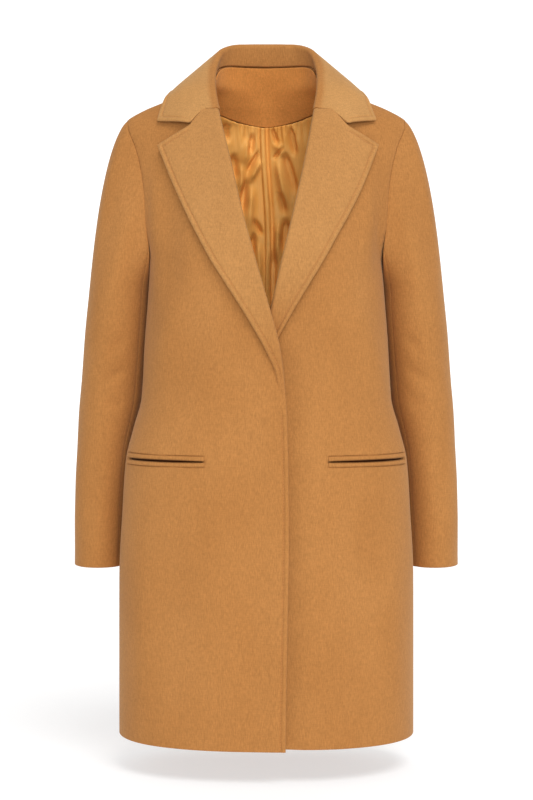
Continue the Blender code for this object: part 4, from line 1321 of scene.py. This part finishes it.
def thread_finish(name):
    """Sewing thread in the wool's colour, lighter where its twist catches the light."""
    made_material, tree, shader = shader_nodes(name)
    twist = noise(tree, scale=1500, detail=2, stretch=(1, 1, 1))
    light = tuple(THREAD_SHINE * part for part in WOOL)
    colour = ramp(tree, twist, [(NOISE_LOW, WOOL), (NOISE_HIGH, light)])
    tree.links.new(colour, shader.inputs["Base Color"])
    tree.links.new(bump(tree, twist, strength=0.3, distance=0.0002), shader.inputs["Normal"])
    set_inputs(shader, {"Roughness": 0.7})
    return made_material


def ground_finish(name):
    """Pale and matt, with a glow that keeps it near white."""
    made_material, _, shader = shader_nodes(name)
    set_inputs(shader, {
        "Base Color": (*GROUND, 1), "Roughness": 0.95, "Specular IOR Level": 0.0,
        "Emission Color": (1, 1, 1, 1), "Emission Strength": GROUND_GLOW})
    return made_material


wool = wool_finish("wool", PAINTED_TOP_LIGHT)
lit_facing_wool = wool_finish("wool_facing_painted_light", PAINTED_FACING_LIGHT)
slit_shaded_wool = wool_finish("wool_painted_slit_shade", PAINTED_SLIT_SHADE)
satin = satin_finish("satin")
thread = thread_finish("thread")

# The paths of the pieces' stitches, by node
stitch_paths = {}


def pocket_heights():
    """Heights at a pocket's slit and at its welts' outer edges."""
    reach = POCKET_SLIT_HALF + WELT_HEIGHT
    return [POCKET_SLIT + line + np.array(POCKET_ROWS) for line in (-reach, 0, reach)]


def in_pocket(points):
    """One along the pockets, fading out at their ends."""
    x = np.abs(points[..., 0])
    begun = ease(POCKET_FROM - SEAM, POCKET_FROM + POCKET_END_FADE, x)
    return begun * (1 - ease(POCKET_TO - POCKET_END_FADE, POCKET_TO + SEAM, x))


def pocket_form(points):
    """Slit behind the welts, and the seams that hold them."""
    x = np.abs(points[..., 0])
    z = points[..., 2] - POCKET_SLIT
    edge = np.abs(z) - POCKET_SLIT_HALF - WELT_HEIGHT
    form = POCKET_SWELL * bell(edge, POCKET_SWELL_WIDTH) - WELT_SEAM_DEPTH * bell(edge, WELT_SEAM_WIDTH)
    form = form - SLIT_DEPTH * bell(z, SLIT_WIDTH, 4)
    beyond = np.minimum(np.abs(x - POCKET_FROM), np.abs(x - POCKET_TO))
    ends = WELT_SEAM_DEPTH * bell(beyond, WELT_END_WIDTH) * (1 - ease(0, WELT_SEAM_WIDTH, edge))
    return in_pocket(points) * form - ends


def add_front(side):
    node = f"front_{HAND[side]}"
    place = front_slice(side)
    along = panel_along(FRONT_TOP, pocket_heights())
    near, far = front_edges(side, mix(HEM, FRONT_TOP, along))
    straight = np.clip((STRAIGHT_TO - near) / (far - near), *FRONT_STRAIGHT)
    grid = lay(place, *even_grid(place, STITCHED_AT, SEWN_AT, STEP, along, [straight]), WALL)
    x = grid.points[..., 0]
    z = grid.points[..., 2]
    foot = NOTCH[side].foot
    below_lapel = 1 - ease(foot - LAPEL_FOOT_FADE, foot + LAPEL_FOOT_FADE, z)
    folds = creased(x, z, CREASES[node])
    folds = folds * ease(0, FRONT_CREASE_CLEAR, grid.near) * ease(0, CREASE_CLEAR, grid.far)
    if side == LEFT:
        dip = UNDER_DIP * (1 - ease(*UNDER_DIP_FADE, z))
        folds = folds - dip * bell(x + edge_distance(RIGHT, z), UNDER_DIP_WIDTH)
    if side == RIGHT:
        folds = folds + FRONT_LIFT * bell(grid.near, FRONT_LIFT_WIDTH) * below_lapel
    edges = {"near": folded_edge(WALL), "far": SEWN, "foot": folded_edge(WALL)}
    form = pocket_form(grid.points) + finished(grid.near) * below_lapel
    # Painted shade: the front is darkened inside the pocket slit
    painted_shade_share = in_pocket(grid.points) * bell(z - POCKET_SLIT, SLIT_SHADE_WIDTH, 4)
    outside = cloth(node, grid, edges, slit_shaded_wool, folds, form, painted_shade_share)
    if side == RIGHT:
        path, ups = stitch_line(outside, grid, "near")
        keep = path[:, 2] < foot - STITCH_FOOT_CLEAR
        bar = np.linspace(BAR_FROM, BAR_TO, BAR_POINTS)
        bar_height = np.full_like(bar, BAR_HEIGHT)
        bar_line = front_point(side, angle_at(bar, bar_height), bar_height, 0 * bar)
        stitch_paths[node] = [(path[keep], ups[keep]), bar_line]


def add_lapel(side):
    node = f"lapel_{HAND[side]}"
    place = lapel(side)
    along = spaced_rows(place, TURNED_AT, STITCHED_AT, STEP, NEAR_EDGE)
    across, along = even_grid(place, TURNED_AT, STITCHED_AT, TURNED_STEP, along)
    grid = lay(place, across, along, TURNED_WALL)
    at_tip = ease(*TIP_FADE, part_way(LAPEL_TURN_SHARE, 1, across) - NOTCH_SHARE)
    edge = folded_edge(TURNED_WALL)
    end = Edge(mix(SEWN.radius, edge.radius, at_tip), 0.0)
    edges = {"near": edge, "far": edge, "foot": SEWN, "top": end}
    gap = np.minimum(grid.far, grid.top + OFF_TIP * (1 - at_tip))
    form = finished(gap) * ease(*FINISH_FADE, along)
    # Painted highlight: the lapel's upper part is lightened where it faces up
    light = LAPEL_LIGHT * ease(*LAPEL_LIGHT_FADE, along)
    outside = cloth(node, grid, edges, wool, 0.0, form, light)
    keep = (grid.top[:, STITCH_COLUMN] > STITCH_IN) & (grid.near[:, -1] > STITCH_LEAST_WIDTH)
    tip = stitch_line(outside, grid, "top", tip_stitched(grid, at_tip, -1))
    stitch_paths[node] = [stitch_line(outside, grid, "far", keep), tip]


def add_sleeve(side):
    rows = []
    for row in SLEEVE_CREASES:
        turns = np.radians([row.turn1, row.turn2]) * SLEEVE_RADIUS
        rows.append(row._replace(turn1=turns[0], turn2=turns[1]))
    for part, first, last in (
            ("upper", SLEEVE_FRONT_SEAM, SLEEVE_HIND_SEAM + 2 * math.pi),
            ("under", SLEEVE_HIND_SEAM, SLEEVE_FRONT_SEAM)):
        place = sleeve_piece(side, first, last)
        along = spaced_rows(place, SEWN_AT, TURNED_AT, STEP)
        across, along = even_grid(place, SEWN_AT, SEWN_AT, STEP, along)
        grid = lay(place, across, along, WALL)
        folds = creased(mix(first, last, across) * SLEEVE_RADIUS, grid.points[..., 2], rows)
        folds = folds * ease(0, CREASE_CLEAR, grid.foot) * ease(0, CREASE_CLEAR, grid.top)
        edges = {"near": SEWN, "far": SEWN, "foot": SEWN, "top": folded_edge(WALL)}
        cloth(f"sleeve_{HAND[side]}_{part}", grid, edges, wool, folds)


def add_welts(side):
    edge = folded_edge(WELT_WALL)
    edges = {"near": edge, "far": edge, "foot": edge, "top": edge}
    lower_foot = POCKET_SLIT - POCKET_SLIT_HALF - WELT_HEIGHT
    for part, low, at_slit, at_seam in (
            ("upper", POCKET_SLIT + POCKET_SLIT_HALF, "foot", "top"), ("lower", lower_foot, "top", "foot")):
        place = welt(side, low, low + WELT_HEIGHT)
        along = spaced_rows(place, WELT_AT, WELT_AT, WELT_ROW_STEP)
        grid = lay(place, *even_grid(place, TURNED_AT, TURNED_AT, WELT_STEP, along), WELT_WALL)
        to_slit = getattr(grid, at_slit)
        middle = grid.near * grid.far / (grid.near[:, -1:] / 2) ** 2
        sunk = WELT_SEAM_SINK * bell(getattr(grid, at_seam), WELT_SINK_WIDTH)
        sunk = sunk + SLIT_OPEN * middle * bell(to_slit, SLIT_OPEN_WIDTH)
        # Painted shade: the welts are darkened along the slit, most in the middle
        painted_shade_share = np.sqrt(middle) * bell(to_slit, WELT_SHADE_WIDTH)
        cloth(f"pocket_{HAND[side]}_welt_{part}", grid, edges, slit_shaded_wool, 0.0, -sunk, painted_shade_share)


def add_back():
    along = panel_along(BACK_TOP)
    half = np.maximum(back_half(mix(HEM, BACK_TOP, along)), 1e-6)
    right = np.clip(0.5 - 0.5 * STRAIGHT_TO / half, *BACK_STRAIGHT)
    across, along = even_grid(back_slice, SEWN_AT, SEWN_AT, BACK_STEP, along, [right, 1 - right])
    grid = lay(back_slice, across, along, WALL)
    folds = creased(grid.points[..., 0], grid.points[..., 2], CREASES["back"])
    folds = folds * ease(0, CREASE_CLEAR, grid.near) * ease(0, CREASE_CLEAR, grid.far)
    cloth("back", grid, {"near": SEWN, "far": SEWN, "foot": folded_edge(WALL)}, wool, folds)


def add_collar():
    place = softened(collar_middle, TURNED_WALL, COLLAR_PASSES)
    along = spaced_rows(place, STITCHED_AT, STITCHED_AT, STEP, NEAR_EDGE)
    across, along = even_grid(place, TURNED_AT, STITCHED_AT, TURNED_STEP, along)
    grid = lay(place, across, along, TURNED_WALL)
    fall = part_way(COLLAR_FALL_SHARE, 1, across)
    at_tip = ease(*TIP_FADE, fall - NOTCH_SHARE)
    ends = np.minimum(grid.foot, grid.top)
    lift = COLLAR_LIFT * ease(COLLAR_LIFT_FROM, COLLAR_LIFT_TO, fall)
    lift = lift * (1 - COLLAR_TIP_DOWN * ease(COLLAR_LIFT_TO, 1, fall))
    lift = lift * (1 - ease(0, COLLAR_LIFT_LENGTH, ends))
    edge = folded_edge(TURNED_WALL)
    end = Edge(mix(SEWN.radius, edge.radius, at_tip), 0.0)
    edges = {"near": edge, "far": edge, "foot": end, "top": end}
    form = finished(np.minimum(grid.far, ends + OFF_TIP * (1 - at_tip)))
    # Painted highlight: the collar's fall is lightened where it faces up
    light = COLLAR_LIGHT * ease(0, COLLAR_LIGHT_TO, fall)
    outside = cloth("collar", grid, edges, wool, lift, form, light)
    stitch_paths["collar"] = [stitch_line(outside, grid, "far", ends[:, STITCH_COLUMN] > STITCH_IN)]
    for edge, row in (("foot", 0), ("top", -1)):
        stitch_paths["collar"].append(stitch_line(outside, grid, edge, tip_stitched(grid, at_tip, row)))


def add_facing():
    along = spaced_rows(back_neck_facing, TURNED_AT, SEWN_AT, STEP)
    across, along = even_grid(back_neck_facing, SEWN_AT, SEWN_AT, STEP, along)
    grid = lay(back_neck_facing, across, along, FACING_WALL)
    edge = folded_edge(FACING_WALL)
    edges = {"near": SEWN, "far": SEWN, "foot": edge, "top": edge}
    # Painted light: the whole facing is lightened, as it lies in shade inside the neck
    cloth("back_neck_facing", grid, edges, lit_facing_wool, 0.0, 0.0, 1.0)


def pleat_form(x, below):
    """The lining's centre pleat: a flat fold, creased on one side and standing open on the other."""
    centre = PLEAT_OFF_CENTRE + PLEAT_DRIFT * ease(0, PLEAT_DRIFT_LENGTH, below)
    off = (x - centre) / PLEAT_HALF_WIDTH
    fold = PLEAT_HEIGHT * ease(*PLEAT_RISE, off) * (1 - ease(*PLEAT_FALL, off))
    fold = fold + PLEAT_CREASE * bell(off - PLEAT_CREASE_AT, PLEAT_CREASE_WIDTH)
    fold = fold + PLEAT_BEHIND * bell(off - PLEAT_BEHIND_AT, PLEAT_BEHIND_WIDTH)
    return fold * (1 - ease(*PLEAT_FADE, below))


def lining_back(across, along, depth):
    spread = 2 * across - 1
    top = facing_foot(np.abs(spread) * LINING_SPREAD / FACING_SPREAD) - 2 * SEAM
    height = mix(LINING_END, top, along)
    angle = math.pi - spread * LINING_SPREAD
    below = top - height
    x = body(angle, height)[..., 0]
    folds = [fold._replace(half_width=FOLD_SPREAD * fold.half_width) for fold in LINING_FOLDS]
    raised = FOLD_DEPTH * creased(x, height, folds) + pleat_form(x, below)
    for gather in GATHERS:
        centre = gather.x + gather.drift * below
        width = gather.half_width * (1 + GATHER_SPREAD * ease(0, gather.length, below))
        fade = 1 - ease(GATHER_FADE * gather.length, gather.length, below)
        raised = raised + gather.height * bell(x - centre, width) * fade
    free = mix(LINING_CLEAR_AT_FACING, LINING_CLEAR, ease(0, LINING_DROP, below)) + LINING_OFF
    inside = WALL + np.maximum(free + raised, LINING_CLEAR_AT_FACING / 2) + depth
    return inside_body(angle, height, inside)


def add_lining():
    fine = np.linspace(-LINING_FINE, LINING_FINE, LINING_FINE_COLUMNS)
    wide = np.linspace(LINING_FINE, 1, LINING_WIDE_COLUMNS)[1:]
    spread = np.concatenate([-wide[::-1], fine, wide])
    low_rows = np.linspace(0, LINING_LOW, LINING_LOW_ROWS)[:-1]
    rows = np.concatenate([low_rows, np.linspace(LINING_LOW, 1, LINING_TOP_ROWS)])
    across, along = np.meshgrid((spread + 1) / 2, rows)
    cloth("lining_back", lay(lining_back, across, along, LINING_WALL), {}, satin)


for side in HAND:
    add_front(side)
    add_lapel(side)
    add_sleeve(side)
    add_welts(side)
add_back()
add_collar()
add_facing()
add_lining()

for node, paths in stitch_paths.items():
    stitches("stitching_" + node, paths, thread)


def add_ground():
    profile = [(-FLOOR_HALF, 0.0)]
    for turn in np.linspace(0, math.pi / 2, SWEEP_STEPS + 1):
        profile.append((FLOOR_BACK + SWEEP_RADIUS * math.sin(turn), SWEEP_RADIUS * (1 - math.cos(turn))))
    profile.append((FLOOR_BACK + SWEEP_RADIUS, FAR_WALL))
    floor = HEM - FLOOR_BELOW_HEM
    verts = [(x, y, floor + z) for y, z in profile for x in (-FLOOR_HALF, FLOOR_HALF)]
    faces = [(2 * k, 2 * k + 1, 2 * k + 3, 2 * k + 2) for k in range(len(profile) - 1)]
    ground = add_mesh("ground", verts, faces, ground_finish("ground"))


def add_sun(name, place, power, spread):
    data = bpy.data.lights.new(name, "SUN")
    data.energy = power
    data.angle = math.radians(spread)
    lamp = add_object(name, data)
    lamp.location = place
    lamp.rotation_euler = (Vector(LIGHT_AIM) - Vector(place)).to_track_quat("-Z", "Y").to_euler()


def add_camera():
    data = bpy.data.cameras.new("camera")
    data.sensor_width = SENSOR
    data.lens = FOCAL_PIXELS / PHOTO_HEIGHT * SENSOR
    data.shift_x = (PHOTO_WIDTH / 2 - CENTRE_PIXEL) / PHOTO_HEIGHT
    camera = add_object("camera", data)
    camera.location = CAMERA_PLACE
    camera.rotation_euler = (math.pi / 2 - CAMERA_DOWN, 0, 0)
    bpy.context.scene.camera = camera


def add_world():
    world = bpy.data.worlds.new("studio")
    world.use_nodes = True
    set_inputs(world.node_tree.nodes["Background"], {"Color": (1, 1, 1, 1), "Strength": WORLD_LIGHT})
    bpy.context.scene.world = world


add_ground()
add_camera()
add_world()
for sun in SUNS:
    add_sun(*sun)
bpy.context.scene.view_settings.view_transform = "Standard"
